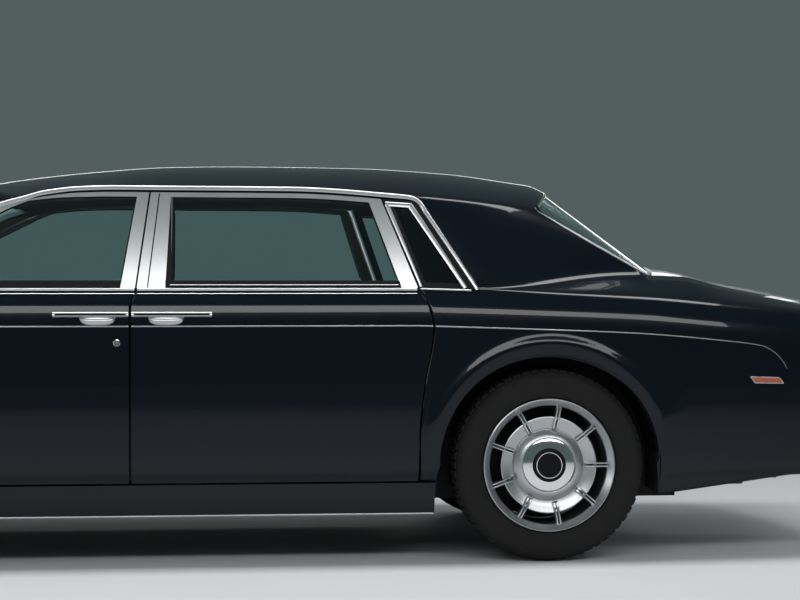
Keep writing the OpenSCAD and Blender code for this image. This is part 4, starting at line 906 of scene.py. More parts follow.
run = np.concatenate([np.linspace(0, 0.92, 22), np.linspace(0.94, 1.3, 14), np.linspace(1.36, 2, 12)])
boot = np.stack([boot_point(run, np.full(len(run), w)) for w in np.linspace(-1, 1, 33)], 0)
inward = np.stack([np.where(run > 1.05, -BOOT_WALL, -BOOT_WALL * clamp((run - 0.9) / 0.15)), 0 * run,
                   np.where(run < 1, -BOOT_WALL, -BOOT_WALL * clamp(2 - run))], -1)
panel("boot_lid_skin", [(boot, boot + inward[None])], paint, "boot_lid", ["boot_lid"], 4.0)
tail_z = np.linspace(653.4, 1089, 20)
tail_share = np.linspace(0, 1, 9)
rear_cheek = np.stack([tail_face(-mix(tail_edge(z) - CHEEK_IN, 622.0, tail_share), np.full(9, z))
                       for z in tail_z], 0)
rear_cheek[..., 2] += tail_share[None, :] * 22.0 * ease((tail_z - 960) / 120.0)[:, None]
sheet_metal("tail_cheeks", [turn(rear_cheek) for side, turn in sides])


def valance(zs, face, edge, tuck):
    rows = []
    for k, z in enumerate(zs):
        y = np.linspace(-1, 1, 41) * (edge(z) - 68.0)
        rows.append(shifted(face(y, np.full(41, z)), tuck * (k == 0) + 0.4 * tuck * (k == 1)))
    return np.stack(rows, 0)


BUMPER_DEEP, MOUTH_HALF = 60.0, 380.0
rear_valance = shifted(valance(np.linspace(TAIL_LOW, 652, 14), tail_face, tail_edge, -30.0), -8.0)
panel("bumper_rear_skin", [(rear_valance, shifted(rear_valance, -BUMPER_DEEP))], paint, "body",
      ["bumper_rear"], 4.0)
front_z = np.concatenate([np.linspace(262, 469, 12), np.linspace(480, 700, 12)])
front_valance = valance(front_z, nose_face, nose_edge, 30.0)[:, ::-1]
mouth = {(r, c) for r in range(12, 23) for c in range(40)
         if abs(front_valance[r, c, 1] + front_valance[r, c + 1, 1]) / 2 < MOUTH_HALF}
panel("bumper_front_skin", [(front_valance, shifted(front_valance, BUMPER_DEEP))], paint, "body",
      ["bumper_front"], 4.0, {0: mouth})
print("lids and ends made")

# %% [markdown]
# A wheel is a turned shape, so it is a profile swept round the axle. The nine narrow blades and the tread
# blocks repeat round it: Geometry Nodes set one of each on a ring of points. The tree ends in Realize
# Instances and Set Material, and its result is kept as a plain mesh.

# %% Turned shapes
HALF_TRACK, BLADES = 836.0, 9


def revolved(profile, segments=96):
    rings = np.array(profile, float)
    turn = np.linspace(0, 2 * math.pi, segments, endpoint=False)
    points = np.stack([rings[:, None, 0] * np.cos(turn), rings[:, None, 0] * np.sin(turn),
                       np.broadcast_to(rings[:, None, 1], (len(rings), segments))], -1)
    return points.reshape(-1, 3), net_faces(len(rings), segments)


def joined(parts):
    points, faces = [], []
    for p, f in parts:
        base = sum(len(q) for q in points)
        points.append(np.asarray(p))
        faces += [tuple(i + base for i in face) for face in f]
    return np.concatenate(points), faces


def mesh_data(mesh):
    return np.array([v.co for v in mesh.vertices]) / MM, [tuple(f.vertices) for f in mesh.polygons]


# %% Geometry Nodes: one thing set on many points
def tree_of(name, kinds):
    tree = bpy.data.node_groups.new(name, "GeometryNodeTree")
    for socket, kind in kinds.items():
        tree.interface.new_socket(socket, in_out="INPUT", socket_type="NodeSocket" + kind)
    tree.interface.new_socket("Geometry", in_out="OUTPUT", socket_type="NodeSocketGeometry")
    return tree, tree.nodes.new("NodeGroupInput")


def spread_on(tree, given, points, rotation=None):
    add, link = tree.nodes.new, tree.links.new
    info, spread = add("GeometryNodeObjectInfo"), add("GeometryNodeInstanceOnPoints")
    real, coat = add("GeometryNodeRealizeInstances"), add("GeometryNodeSetMaterial")
    link(given.outputs["Piece"], info.inputs["Object"])
    link(points, spread.inputs["Points"])
    link(info.outputs["Geometry"], spread.inputs["Instance"])
    if rotation is not None:
        link(rotation, spread.inputs["Rotation"])
    link(spread.outputs[0], real.inputs[0])
    link(real.outputs[0], coat.inputs["Geometry"])
    link(given.outputs["Finish"], coat.inputs["Material"])
    link(coat.outputs[0], add("NodeGroupOutput").inputs[0])
    return tree


def ring_tree():
    tree, given = tree_of("set_round_a_ring", {"Piece": "Object", "Count": "Int", "Finish": "Material"})
    add, link = tree.nodes.new, tree.links.new
    circle, index, facing = (add(k) for k in ("GeometryNodeMeshCircle", "GeometryNodeInputIndex",
                                              "ShaderNodeCombineXYZ"))
    share, turn = add("ShaderNodeMath"), add("ShaderNodeMath")
    circle.inputs["Radius"].default_value = 0.0001
    share.operation, turn.operation = "DIVIDE", "MULTIPLY"
    turn.inputs[1].default_value = 2 * math.pi
    link(given.outputs["Count"], circle.inputs["Vertices"])
    link(index.outputs[0], share.inputs[0])
    link(given.outputs["Count"], share.inputs[1])
    link(share.outputs[0], turn.inputs[0])
    link(turn.outputs[0], facing.inputs["Z"])
    return spread_on(tree, given, circle.outputs[0], facing.outputs[0])


def line_tree():
    tree, given = tree_of("set_along_a_line", {"Piece": "Object", "Count": "Int", "Step": "Vector",
                                               "Finish": "Material"})
    line = tree.nodes.new("GeometryNodeMeshLine")
    tree.links.new(given.outputs["Count"], line.inputs["Count"])
    tree.links.new(given.outputs["Step"], line.inputs["Offset"])
    return spread_on(tree, given, line.outputs[0])


ring_nodes, line_nodes = ring_tree(), line_tree()


def grown(tree, name, points, faces, **settings):
    one = bpy.data.objects.new(name + "_one", mesh_of(name, np.asarray(points) * MM, faces))
    many = bpy.data.objects.new(name, bpy.data.meshes.new(name))
    for thing in (one, many):
        bpy.context.scene.collection.objects.link(thing)
    grow = many.modifiers.new("grow", "NODES")
    grow.node_group = tree
    sockets = {s.name: s.identifier for s in tree.interface.items_tree if s.in_out == "INPUT"}
    for socket, value in (("Piece", one), *settings.items()):
        grow[sockets[socket]] = value
    done = mesh_data(baked(many).data)
    bpy.data.objects.remove(many)
    bpy.data.objects.remove(one)
    return done


# %% Blades and tread blocks
def blade():
    section = [(-14, -16), (-12, 4), (-8.5, 9), (-4.5, 9), (0, -6), (4.5, 9), (8.5, 9), (12, 4), (14, -16)]
    stations = [(150, 90, 0.85), (158, 97, 1.0), (195, 101, 1.0), (234, 103, 0.95), (245, 102, 0.9),
                (250, 97, 0.85)]
    points = [(r, y * wide, h + (z if z < 0 else z * min(1.0, wide * 1.1)))
              for r, h, wide in stations for y, z in section]
    n, last = len(section), len(stations) - 1
    faces = [(s * n + k, (s + 1) * n + k, (s + 1) * n + k + 1, s * n + k + 1)
             for s in range(last) for k in range(n - 1)]
    return points, faces + [tuple(range(n)), tuple(last * n + k for k in range(n))[::-1]]


def tread_block(low, high, pitch, slant):
    half = math.pi / pitch * 0.80
    middle = (low + high) / 2
    points = []
    for r, trim in ((383.0, 1.0), (391.5, 0.95), (394.0, 0.84)):
        for h, a in ((low, -1), (high, -1), (high, 1), (low, 1)):
            turn = a * half * trim + slant * (h - middle) / 60.0
            drop = 14.0 * (abs(middle + (h - middle) * trim) / 132.0) ** 4
            points.append(((r - drop) * math.cos(turn), (r - drop) * math.sin(turn),
                           middle + (h - middle) * trim))
    return points, [(8, 9, 10, 11)] + net_faces(3, 4)


blades = grown(ring_nodes, "blades", *blade(), Count=BLADES, Finish=wheel_bright)
ribs = ((-104, -66, 62, 0.010), (-60, -22, 74, 0.014), (-17, 17, 74, -0.010), (22, 60, 74, 0.014),
        (66, 104, 62, -0.010))
tread = joined([grown(ring_nodes, "tread", *tread_block(lo, hi, n, slant), Count=n, Finish=rubber)
                for lo, hi, n, slant in ribs])
tyre = revolved([(272, 104), (276, 111), (282, 121), (300, 128), (325, 132), (352, 131), (360, 127.5),
                 (363, 128.5), (374, 122), (382, 112), (385.5, 96), (386, 0), (385.5, -96), (382, -112),
                 (374, -122), (363, -128.5), (352, -131), (325, -132), (300, -128), (282, -121), (272, -104),
                 (272, 104)], 112)
rim = revolved([(240, -112), (271, -114), (271, -106), (250, -90), (242, 60), (240.5, 88), (243, 94), (247, 98),
                (258, 109.5), (263, 115.5), (267, 119.5), (271, 117.5), (271.5, 108), (262, 96), (259, 60),
                (259, -84), (240, -112)][::-1])
plate = revolved([(60, 60), (195, 60), (199, 92), (197.5, 97), (194, 98.5), (172, 89), (152, 80),
                  (112, 78)][::-1])
ring = revolved([(147, 78), (146, 84), (142, 88), (127, 99), (115, 107), (111, 107.5), (108.8, 104),
                 (108, 96)][::-1])
dish = revolved([(108.6, 96), (107, 101), (103, 102.5), (90, 106), (76, 109), (69, 110), (67, 108)][::-1])
cap = revolved([(68, 90), (68, 110), (65, 112.5), (56, 114), (0.01, 115)][::-1], 64)
cap_ring = revolved([(55, 113.6), (54, 115.6), (52, 116), (50, 115.6), (49, 113.6)][::-1], 64)
disc = revolved([(60, -26), (185, -26), (185, 0), (60, 0)][::-1], 80)
shield = revolved([(62, -104), (236, -104), (236, -100), (62, -100)][::-1], 80)

wheel_parts = (("rim", joined([rim, plate, ring]), wheel_satin, "wheel_metal"),
               ("blades", blades, wheel_bright, "wheel_metal"),
               ("dish", joined([dish, cap_ring]), chrome, "chrome"), ("cap", cap, black_trim, "black_trim"),
               ("disc", disc, plain_steel, "steel"), ("tyre_body", tyre, rubber, "tyre"),
               ("tread", tread, rubber, "tyre"))


def placed(name, points, faces, axle, side):
    p = np.asarray(points)
    way = -1.0 if side == "left" else 1.0
    world = np.stack([axle + p[:, 0], way * (HALF_TRACK + p[:, 2]), WHEEL_Z + p[:, 1]], -1) * MM
    return mesh_of(name, world, faces if side == "left" else [f[::-1] for f in faces])


for end, axle in (("front", FRONT_AXLE), ("rear", REAR_AXLE)):
    for side in ("left", "right"):
        wheel = f"wheel_{end}_{side}"
        stands_for = {"rim": wheel, "tyre_body": f"tyre_{end}_{side}"}
        for part, (points, faces), material, slot in wheel_parts:
            mesh = placed(wheel + part, points, faces, axle, side)
            piece = finish_mesh(f"{wheel}_{part}", mesh, material, wheel, 40.0)
            if part in stands_for:
                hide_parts(stands_for[part])
for side in ("left", "right"):
    shield_mesh = placed("brake_shield", *shield, REAR_AXLE, side)
    finish_mesh(f"brake_shield_rear_{side}", shield_mesh, underbody, "body", 40.0)
print("wheel: tread", len(tread[1]), "faces, blades", len(blades[1]), "faces")

# %% [markdown]
# Bright trim is what draws the lines of this car: a coach line along the side, a strip at the belt, a drip
# moulding over the windows that turns down behind the quarter window. Each is one profile carried along a
# path on the body's surface, so it follows every curve and sits on the panel under it.

# %% A moulding along a path on the side
def moulding_grid(path, width, proud, sunk=2.0):
    path = np.asarray(path, float)
    along = np.gradient(path, axis=0)
    along /= np.linalg.norm(along, axis=1)[:, None] + 1e-9
    across = np.stack([-along[:, 1], along[:, 0]], -1)
    width = np.broadcast_to(np.asarray(width, float), len(path))
    profile = ((-0.5, -sunk), (-0.5, 0.55 * proud), (-0.34, 0.92 * proud), (0.0, proud), (0.34, 0.92 * proud),
               (0.5, 0.55 * proud), (0.5, -sunk))
    rows = []
    for share, out in profile:
        spot = path + across * (share * width)[:, None]
        rows.append(skin(spot[:, 0], spot[:, 1], out))
    return np.stack(rows, 0)


def strip_mesh(name, grid):
    rows, cols = grid.shape[:2]
    faces = net_faces(rows, cols, wrapped=False)
    faces += [tuple(r * cols for r in range(rows)), tuple(r * cols + cols - 1 for r in range(rows))[::-1]]
    return mesh_of(name, grid.reshape(-1, 3) * MM, faces, True)


def owner_of(body, side):
    return body if body == "body" else f"{body}_{side}"


def moulding(name, path, width, proud, material, body="body", sunk=2.0):
    grid = moulding_grid(path, width, proud, sunk)
    for side, turn in sides:
        piece = f"{name}_{side}"
        finish_mesh(piece, strip_mesh(piece, turn(grid)), material, owner_of(body, side), 40.0)


def bright(name, path, width, proud, body="body", sunk=2.0):
    moulding(name, path, width, proud, satin_steel, body, sunk)


def patch(name, x, z, out, material, slot, body, thick=6.0, bevel=1.0):
    face = skin(x, z, out)
    for side, turn in sides:
        owner = owner_of(body, side)
        panel(f"{name}_{side}", [(turn(face), turn(inset(face, thick)))], material, owner, (), bevel)


def path_of(points, steps=48):
    points = np.asarray(points, float)
    run = np.concatenate([[0], np.cumsum(np.linalg.norm(np.diff(points, axis=0), axis=1))])
    t = np.linspace(0, run[-1], steps)
    return np.stack([smooth_curve(list(zip(run, points[:, k])))(t) for k in (0, 1)], -1)


def level(x0, x1, z, steps=40):
    return np.stack([np.linspace(x0, x1, steps), np.full(steps, float(z))], -1)


# %% Coach line and belt strips
COACH_LINE, COACH_WIDE, COACH_PROUD = COACH + 2.0, 6.5, 4.0
rear_tip, belt_x = at(rear_edge, COACH_LINE), at(split_edge, BELT)
for name, x0, x1 in (("front", DOOR_FRONT + 2, SPLIT - GAP - 2), ("rear", SPLIT + 2, rear_tip - 2)):
    bright(f"coach_line_{name}_door", level(x0, x1, COACH_LINE), COACH_WIDE, COACH_PROUD, f"door_{name}")
tail_falls = ((rear_tip + GAP + 2, 0), (1400, 0), (1800, 0), (2200, 0), (2450, 2), (2552, 8), (2610, 34),
              (2648, 82), (2662, 120))
tail_line = path_of([(x, COACH_LINE - fall) for x, fall in tail_falls], 90)
bright("coach_line_quarter", tail_line, np.linspace(COACH_WIDE, 4.0, 90), 3.5)
bright("coach_line_wing", level(-2560, DOOR_FRONT - GAP - 2, COACH_LINE, 60), COACH_WIDE, COACH_PROUD)
for name, x0, x1 in (("front", DOOR_FRONT + 20, belt_x - GAP - 2), ("rear", belt_x + 2, DOOR_BACK - 4)):
    bright(f"belt_strip_{name}_door", level(x0, x1, BELT - 6), 10.0, 5.0, f"door_{name}")
    moulding(f"belt_bead_{name}_door", level(x0, x1, BELT - 23), 4.0, 2.5, chrome, f"door_{name}")
bright("belt_strip_quarter", level(DOOR_BACK + GAP + 4, 1338, BELT - 3), 7.0, 5.0)
front_post, rear_post = (at(width, BELT + SASH) for width in frame_widths["rear"])
bead_path = level(belt_x + front_post - 2, DOOR_BACK - rear_post - 12, BELT + 13)
moulding("window_bead_rear_door", bead_path, 5.0, 7.0, chrome, "door_rear")

# %% Rubber along the foot of the glass, and the groove in the middle post
def wedge(name, corners, body, out=2.6):
    (x0, x1, z0), (x2, x3, z1) = corners
    up = np.linspace(0, 1, 14)[:, None]
    over = np.linspace(0, 1, 24)[None, :]
    z = mix(z0, z1, up) + 0 * over
    x = mix(mix(x0, x1, over), mix(x2, x3, over), up)
    patch(name, x, z, out, black_trim, "black_trim", body, 8.0)


GLASS_FOOT, POST = BELT + SASH + 8.0, belt_x + 114
wedge("sash_rubber_front_door", ((-1130, belt_x - GAP - 58, BELT + 1), (-1115, belt_x - GAP - 54, GLASS_FOOT)),
      "door_front")
wedge("sash_rubber_rear_door", ((POST, DOOR_BACK - 66, BELT + 1), (POST, DOOR_BACK - 74, GLASS_FOOT)),
      "door_rear")
wedge("post_rubber_rear_door", ((POST, belt_x + 139, BELT + 2), (belt_x + 136, belt_x + 139, 1490)),
      "door_rear", 2.0)
moulding("post_groove_rear_door", path_of([(29, BELT + 3), (76, 1504)], 30), 5.0, 1.8, black_trim,
         "door_rear")

# %% Drip moulding, and the frame of the quarter window
def roofline(x, under=0):
    return (x, at(drip_z, x) - 6.0 - under)


QUARTER_TOP = 1462
over_windows = [roofline(x) for x in np.linspace(-400, 1080, 40)]
bend_down = [roofline(1112, 3), roofline(1136, 14), roofline(1152, 34)]
down = [(mix(1160, 1364, t), mix(roofline(1160, 50)[1], BELT + 2, t)) for t in np.linspace(0, 1, 18)]
screen_leg = [(at(windscreen_slope, z) - 6, z + 8) for z in np.linspace(1150, 1478, 16)]
bright("drip_moulding", path_of(screen_leg + over_windows + bend_down + down, 190),
       np.concatenate([np.full(150, 19.0), np.linspace(19, 15, 40)]), 7.0, sunk=6.0)
quarter_z = np.linspace(BELT + 6, QUARTER_TOP, 16)
front_leg = [(at(door_back_edge, z) + GAP + 9, z) for z in quarter_z]
rear_leg = [(mix(1318, 1098, (z - BELT) / (QUARTER_TOP - BELT)), z) for z in quarter_z[::-1]]
bright("quarter_frame_front", path_of(front_leg, 40), np.linspace(11, 17, 40), 4.0)
bright("quarter_frame_rear", path_of(rear_leg, 40), np.linspace(21, 17, 40), 4.0)
quarter_head = [(front_leg[-1][0] - 6, 1463), (rear_leg[0][0] + 8, 1456)]
bright("quarter_frame_top", path_of(quarter_head, 12), 19.0, 4.0)

# %% [markdown]
# Fixed glass closes the cabin. The windscreen and the rear window are bowed sheets between their pillars, and
# the quarter windows stand in a black frame behind the bright strips.

# %% Fixed glass and pillars
ROOF_UNDER = 12.4


def screen_edge(v):
    z = mix(1132.0, 1474.6, np.asarray(v, float))
    return np.stack([windscreen_slope(z) - GAP - 78.0, 46.0 - side_half(0 * z, z), z], -1)


def screen_point(v, w, out=0.0):
    e = screen_edge(v)
    bow = 1 - w * w
    return np.stack([e[..., 0] - 0.4 - mix(150.0, 250.0, v) * bow - out, (-e[..., 1] - 0.8) * w,
                     e[..., 2] + mix(-30.0, 52.0, v) * bow + out], -1)


screen_v, glass_w = np.linspace(0, 1, 25), np.linspace(-1, 1, 37)
screen = np.stack([screen_point(screen_v, np.full(25, w)) for w in glass_w], 0)
screen_inner = shifted(screen, PANE_THICK, z=-PANE_THICK)
panel("windscreen", [(screen, screen_inner)], tinted_glass, "body", ["fixed_glass"], 0)
foot = crest(np.array([REAR_FOOT]))[0]
rear_glass = []
for w in glass_w:
    top = shifted(roof_point(np.array([ROOF_BACK]), np.array([w]))[0], z=-ROOF_UNDER)
    bow = 1 - w * w
    base = np.array([REAR_FOOT + GLASS_BOW * bow, (-foot[1] - 0.4) * w, foot[2] + BOOT_CROWN * bow])
    rear_glass.append([mix(top, base, t) for t in np.linspace(0, 1, 19)])
rear_glass = np.array(rear_glass)
rear_inner = shifted(rear_glass, -PANE_THICK, z=-PANE_THICK)
panel("rear_window", [(rear_glass, rear_inner)], tinted_glass, "body", (), 0)
tube("rear_window_trim", rim_of(shifted(rear_glass, 1.0, z=2.0)), 7.0, satin_steel, "body")
tube("windscreen_seal", rim_of(shifted(screen, -1.0, z=2.0)), 6.0, black_trim, "body")
screen_side = screen_edge(screen_v)
pillar_bends = [shifted(screen_side, *move) for move in ((0.4, 0, 0), (10.0, -52.0, 6.0), (78.0, -46.0, 0))]
front_pillar = np.stack([bend(*pillar_bends, t) for t in np.linspace(0, 1, 7)], 1)


def quarter_grid():
    high = at(drip_z, QUARTER_HEAD) - ROOF_UNDER
    z = np.concatenate([[1120.4], np.linspace(1140, high - 22, 9), [high - 0.4]])
    front = (door_back_edge(z) + GAP)[:, None]
    back = (mix(QUARTER_BACK, QUARTER_HEAD, (z - BELT) / (high - BELT)) - 0.4)[:, None]
    x = np.concatenate([front, mix(front + 34, back - 46, np.linspace(0, 1, 9)[None, :]), back], 1)
    return skin(x, np.repeat(z[:, None], x.shape[1], 1), 0.5)


quarter_frame = quarter_grid()
quarter_hole = {(r, c) for r in range(1, 9) for c in range(1, 9)}
quarter_pane = inset(quarter_frame[1:-1, 1:-1], 12.0)
for side, turn in sides:
    fold = quarter_hole if side == "left" else {(r, quarter_frame.shape[1] - 2 - c) for r, c in quarter_hole}
    panel(f"windscreen_pillar_{side}", [(turn(front_pillar), turn(inset(front_pillar, 26.0)))], satin_steel,
          "body", ["bright_pillars"] if side == "left" else ())
    panel(f"quarter_frame_base_{side}", [(turn(quarter_frame), turn(inset(quarter_frame, 40.0)))], black_trim,
          "body", (), 1.5, {0: fold})
    panel(f"quarter_pane_{side}", [(turn(quarter_pane), turn(inset(quarter_pane, PANE_THICK)))], tinted_glass,
          "body", (), 0)
print("fixed glass:", screen.shape[:2], rear_glass.shape[:2])

# %% [markdown]
# Each door has a slim bright handle plate with a rounded grip below it. The front door also has a lock barrel
# and a mirror.

# %% Handles, lock and mirrors
HANDLE_Z, GRIP_TOP, LOCK_X, LOCK_Z = 1013, 1003, -92.0, 899.0
ways = (("left", 1.0), ("right", -1.0))
u, v = np.meshgrid(np.linspace(-1, 1, 25), np.linspace(1, 0, 13))
bowl = np.sqrt(np.maximum(0.0, 1 - np.abs(u) ** 3.0))
grip_z = GRIP_TOP - 33 * v * (0.25 + 0.75 * bowl)
grip_out = 2.0 + 15 * bowl * np.sin(np.pi * (0.12 + 0.78 * v))
handles = (("front", SPLIT - GAP - 302, SPLIT - GAP - 3, -168.0), ("rear", SPLIT + 3, SPLIT + 322, 104.0))
for end, x0, x1, grip in handles:
    door = f"door_{end}"
    bright(f"handle_plate_{end}", level(x0, x1, HANDLE_Z, 30), 21.0, 12.0, door)
    moulding(f"handle_inset_{end}", level(x0 + 9, x1 - 9, HANDLE_Z, 30), 10.0, 13.4, black_trim,
             door)
    patch(f"handle_grip_{end}", grip + 71 * u, grip_z, grip_out, satin_steel, "brightwork", door, 7.0)


def lock_part(name, profile, material):
    points, faces = revolved(profile, 32)
    seat = skin(np.array(LOCK_X), np.array(LOCK_Z))
    for side, way in ways:
        world = np.stack([seat[0] + points[:, 0], way * (seat[1] - points[:, 2]),
                          seat[2] + points[:, 1]], -1) * MM
        mesh = mesh_of(name, world, faces if side == "left" else [f[::-1] for f in faces])
        finish_mesh(f"{name}_{side}", mesh, material, f"door_front_{side}", 40.0)


lock_part("door_lock", [(14, -1), (14, 3), (12.5, 4.5), (10, 4.5), (9, 3)][::-1], chrome)
lock_part("door_lock_barrel", [(9, 2), (8.4, 3.6), (4, 4), (0.01, 4)][::-1], plain_steel)


def pillow(centre, half, power):
    lon = np.linspace(-math.pi, math.pi, 28, endpoint=False)
    lat = np.linspace(-math.pi / 2, math.pi / 2, 17)[:, None]

    def bow(v):
        return np.sign(v) * np.abs(v) ** (2.0 / power)

    flat, tall = bow(np.cos(lat)), bow(np.sin(lat))
    ring = np.stack([flat * bow(np.cos(lon)), flat * bow(np.sin(lon)), tall + 0 * lon], -1)
    return np.asarray(centre) + ring.reshape(-1, 3) * np.asarray(half), net_faces(17, 28)


def solid(name, points, faces, material, body, slot):
    build = bmesh.new()
    verts = [build.verts.new(p) for p in (np.asarray(points) * MM).tolist()]
    for face in faces:
        build.faces.new([verts[i] for i in face])
    bmesh.ops.remove_doubles(build, verts=build.verts, dist=1e-6)
    bmesh.ops.dissolve_degenerate(build, dist=1e-7, edges=build.edges)
    bmesh.ops.recalc_face_normals(build, faces=build.faces)
    mesh = bpy.data.meshes.new(name)
    build.to_mesh(mesh)
    build.free()
    return finish_mesh(name, mesh, material, body, 40.0)


mirror_foot = skin(np.array(DOOR_FRONT + 120.0), np.array(BELT + 11.0))
mirror_at = shifted(mirror_foot, 0, -134.0, 75.0)
cap_points, mirror_faces = pillow(mirror_at, (44, 74, 74), 3.4)
face_points = pillow(shifted(mirror_at, 36), (10, 64, 64), 3.4)[0]
arm = np.array([shifted(mirror_foot, 0, 4.0, 12.0), shifted(mirror_foot, 0, -40, 16.0),
                shifted(mirror_at, 0, 40, -50)])
for side, way in ways:
    body, flip = f"door_front_{side}", np.array([1, way, 1])
    solid(f"mirror_cap_{side}", cap_points * flip, mirror_faces, paint, body, "paint")
    solid(f"mirror_face_{side}", face_points * flip, mirror_faces, chrome, body, "chrome")
    tube(f"mirror_arm_{side}", arm * flip, 13.0, paint, body, False, 14)
print("handles, locks and mirrors made")

# %% [markdown]
# The nose carries an upright grille of thin bars and broad rectangular lamps. The bars repeat, so Geometry
# Nodes set one bar along a line. Behind each lamp cover are two turned reflectors, because a clear cover
# shows them.

# %% Grille
BARS, BAR_SPAN, BAR_LOW, BAR_HIGH = 22, 356.0, 500.0, 1016.0
grille_y = np.concatenate([[GRILLE_HALF, 382], np.linspace(BAR_SPAN, -BAR_SPAN, 9), [-382, -GRILLE_HALF]])
grille_z = np.concatenate([[470, 478], np.linspace(504, 1012, 9), [1038, 1046]])
grille_face = np.array([[(NOSE + (6 if r in (0, 12) or c in (0, 12) else 0), y, z)
                         for c, y in enumerate(grille_y)] for r, z in enumerate(grille_z)], float)
grille_hole = {(r, c) for r in range(2, 10) for c in range(2, 10)}
panel("grille_shell", [(grille_face, shifted(grille_face, 58.0))], chrome, "body", ["grille"], 3.0,
      {0: grille_hole})
pitch = 2 * BAR_SPAN / (BARS + 1)
bar_section = [(36, -5), (6, -5), (2, -3.4), (0, -1), (0, 1), (2, 3.4), (6, 5), (36, 5)]
bar = [(-3030 + x, -BAR_SPAN + pitch + y, z) for z in (BAR_LOW, BAR_HIGH) for x, y in bar_section]
bar_faces = net_faces(2, 8) + [tuple(range(8))[::-1], tuple(range(8, 16))]
bars = grown(line_nodes, "grille_bar", bar, bar_faces, Count=BARS, Step=(0.0, pitch * MM, 0.0), Finish=chrome)
solid("grille_bars", *bars, chrome, "body", "chrome")
backing = np.array([[(-2990, y, z) for y in np.linspace(BAR_SPAN, -BAR_SPAN, 5)]
                    for z in np.linspace(BAR_LOW, BAR_HIGH, 5)])
panel("grille_backing", [(backing, shifted(backing, 5.0))], black_trim, "body", (), 0)

# %% Head lamps
CUPS, CUP_Z = (560.0, 706.0), 850.0
cup_profile = [(66, 10), (62, 12), (54, 26), (38, 42), (18, 52), (12, 52), (11, 34), (6, 30), (0.01, 30)]
cup_points, cup_faces = revolved(cup_profile, 48)
lamp_z = np.linspace(LAMP_LOW + 0.4, LAMP_HIGH - 0.4, 13)
lens = np.stack([nose_face(-np.linspace(LAMP_IN + 0.4, lamp_end(z) - 0.4, 21), np.full(21, z))
                 for z in lamp_z], 0)
for side, turn in sides:
    glass, way = turn(lens), -1.0 if side == "left" else 1.0
    panel(f"headlamp_lens_{side}", [(shifted(glass, -3.0), shifted(glass, 3.0))], lens_clear, "body",
          ["headlamps"] if side == "left" else (), 1.0)
    panel(f"headlamp_case_{side}", [(shifted(glass, 62.0), shifted(glass, 70.0))], black_trim, "body",
          (), 0)
    tube(f"headlamp_trim_{side}", rim_of(shifted(glass, -2.0)), 6.0, chrome, "body")
    for k, y in enumerate(CUPS):
        x, _, z = nose_face(np.array([-y]), np.array([CUP_Z]))[0]
        world = np.stack([x + cup_points[:, 2], way * y + cup_points[:, 0], z + cup_points[:, 1]], -1)
        solid(f"headlamp_cup_{side}_{k}", world, cup_faces, chrome, "body", "chrome")

# %% Tail lamps and side markers
def tail_lamp_face(low, high, out):
    z = np.linspace(low, high, 11)
    across = np.linspace(0, 1, 9)
    face = np.stack([tail_face(-mix(tail_edge(v) - 26.0, 644.0, across), np.full(9, v)) for v in z], 0)
    return shifted(face, out)


def marker(u, v, out):
    return 2520 + 125 * u - 19 * v, 744 + 36 * v, out


LAMP_OUT_BY, LAMP_THICK = 9.0, 14.0
red, white = tail_lamp_face(776, 957, LAMP_OUT_BY), tail_lamp_face(709, 770, LAMP_OUT_BY)
for side, turn in sides:
    panel(f"tail_lamp_{side}", [(turn(red), turn(shifted(red, -LAMP_THICK)))], lens_red, "body",
          ["rear_lamps"] if side == "left" else (), 3.0)
    panel(f"reversing_lamp_{side}", [(turn(white), turn(shifted(white, -LAMP_THICK)))], lens_clear, "body",
          (), 3.0)
    tube(f"tail_lamp_trim_{side}", rim_of(turn(tail_lamp_face(704, 962, 6.0))), 6.0, chrome, "body")
u, v = np.meshgrid(np.linspace(0, 1, 15), np.linspace(0, 1, 7))
patch("side_marker", *marker(u, v, 6.0), lens_amber, "lamp_red", "body", 8.0, 2.0)
edge_u = np.concatenate([np.linspace(0, 1, 12), np.ones(6), np.linspace(1, 0, 12), np.zeros(6)])
edge_v = np.concatenate([np.zeros(12), np.linspace(0, 1, 6), np.ones(12), np.linspace(1, 0, 6)])
marker_rim = skin(*marker(edge_u, edge_v, 5.0))
for side, turn in sides:
    tube(f"side_marker_rim_{side}", turn(marker_rim[None])[0], 2.4, satin_steel, "body")

# %% [markdown]
# The wheel houses are closed: a wall stands inside each wheel, and a tub bridges it to the arch. Without them
# light would come through the body where the boot lid or a door stands open.

# %% Wheel houses and shut faces
HOUSE, HOUSE_FOOT, HOUSE_HEAD = 478.0, 235, 624
TUB_IN, TUB_OUT, SKIN_DEEP = 462.0, 467.0, 14.0
houses = (("front", FRONT_AXLE, 478.0, 500.0), ("rear", REAR_AXLE, 652.0, 590.0))


def house(axle, inner, behind):
    turn = np.linspace(math.pi / 6, math.pi, 29)
    outline = [(axle + HOUSE * math.cos(a), WHEEL_Z + HOUSE * math.sin(a)) for a in turn]
    outline += [(axle - HOUSE, HOUSE_FOOT), (axle + behind, HOUSE_FOOT), (axle + behind, HOUSE_HEAD)]
    n = len(outline)
    points = [(x, y, z) for y in (-inner, -inner + 5) for x, z in outline]
    return np.array(points), [tuple(range(n)), tuple(range(n, 2 * n))[::-1]] + net_faces(2, n)


def wall_inwards(x, z, inner):
    edge = skin(x, z, -SKIN_DEEP)
    deep = edge * np.array([1.0, 0.0, 1.0]) - np.array([0.0, inner, 0.0])
    return np.stack([mix(edge, deep, t) for t in np.linspace(0, 1, 4)], 0)


def tub(axle, inner, radius):
    turn = np.linspace(0, math.pi, 49)
    drop = np.linspace(275.0, WHEEL_Z, 4)[:-1]
    x = np.concatenate([np.full(3, radius), radius * np.cos(turn), np.full(3, -radius)])
    return wall_inwards(axle + x, np.concatenate([drop, WHEEL_Z + radius * np.sin(turn), drop[::-1]]), inner)


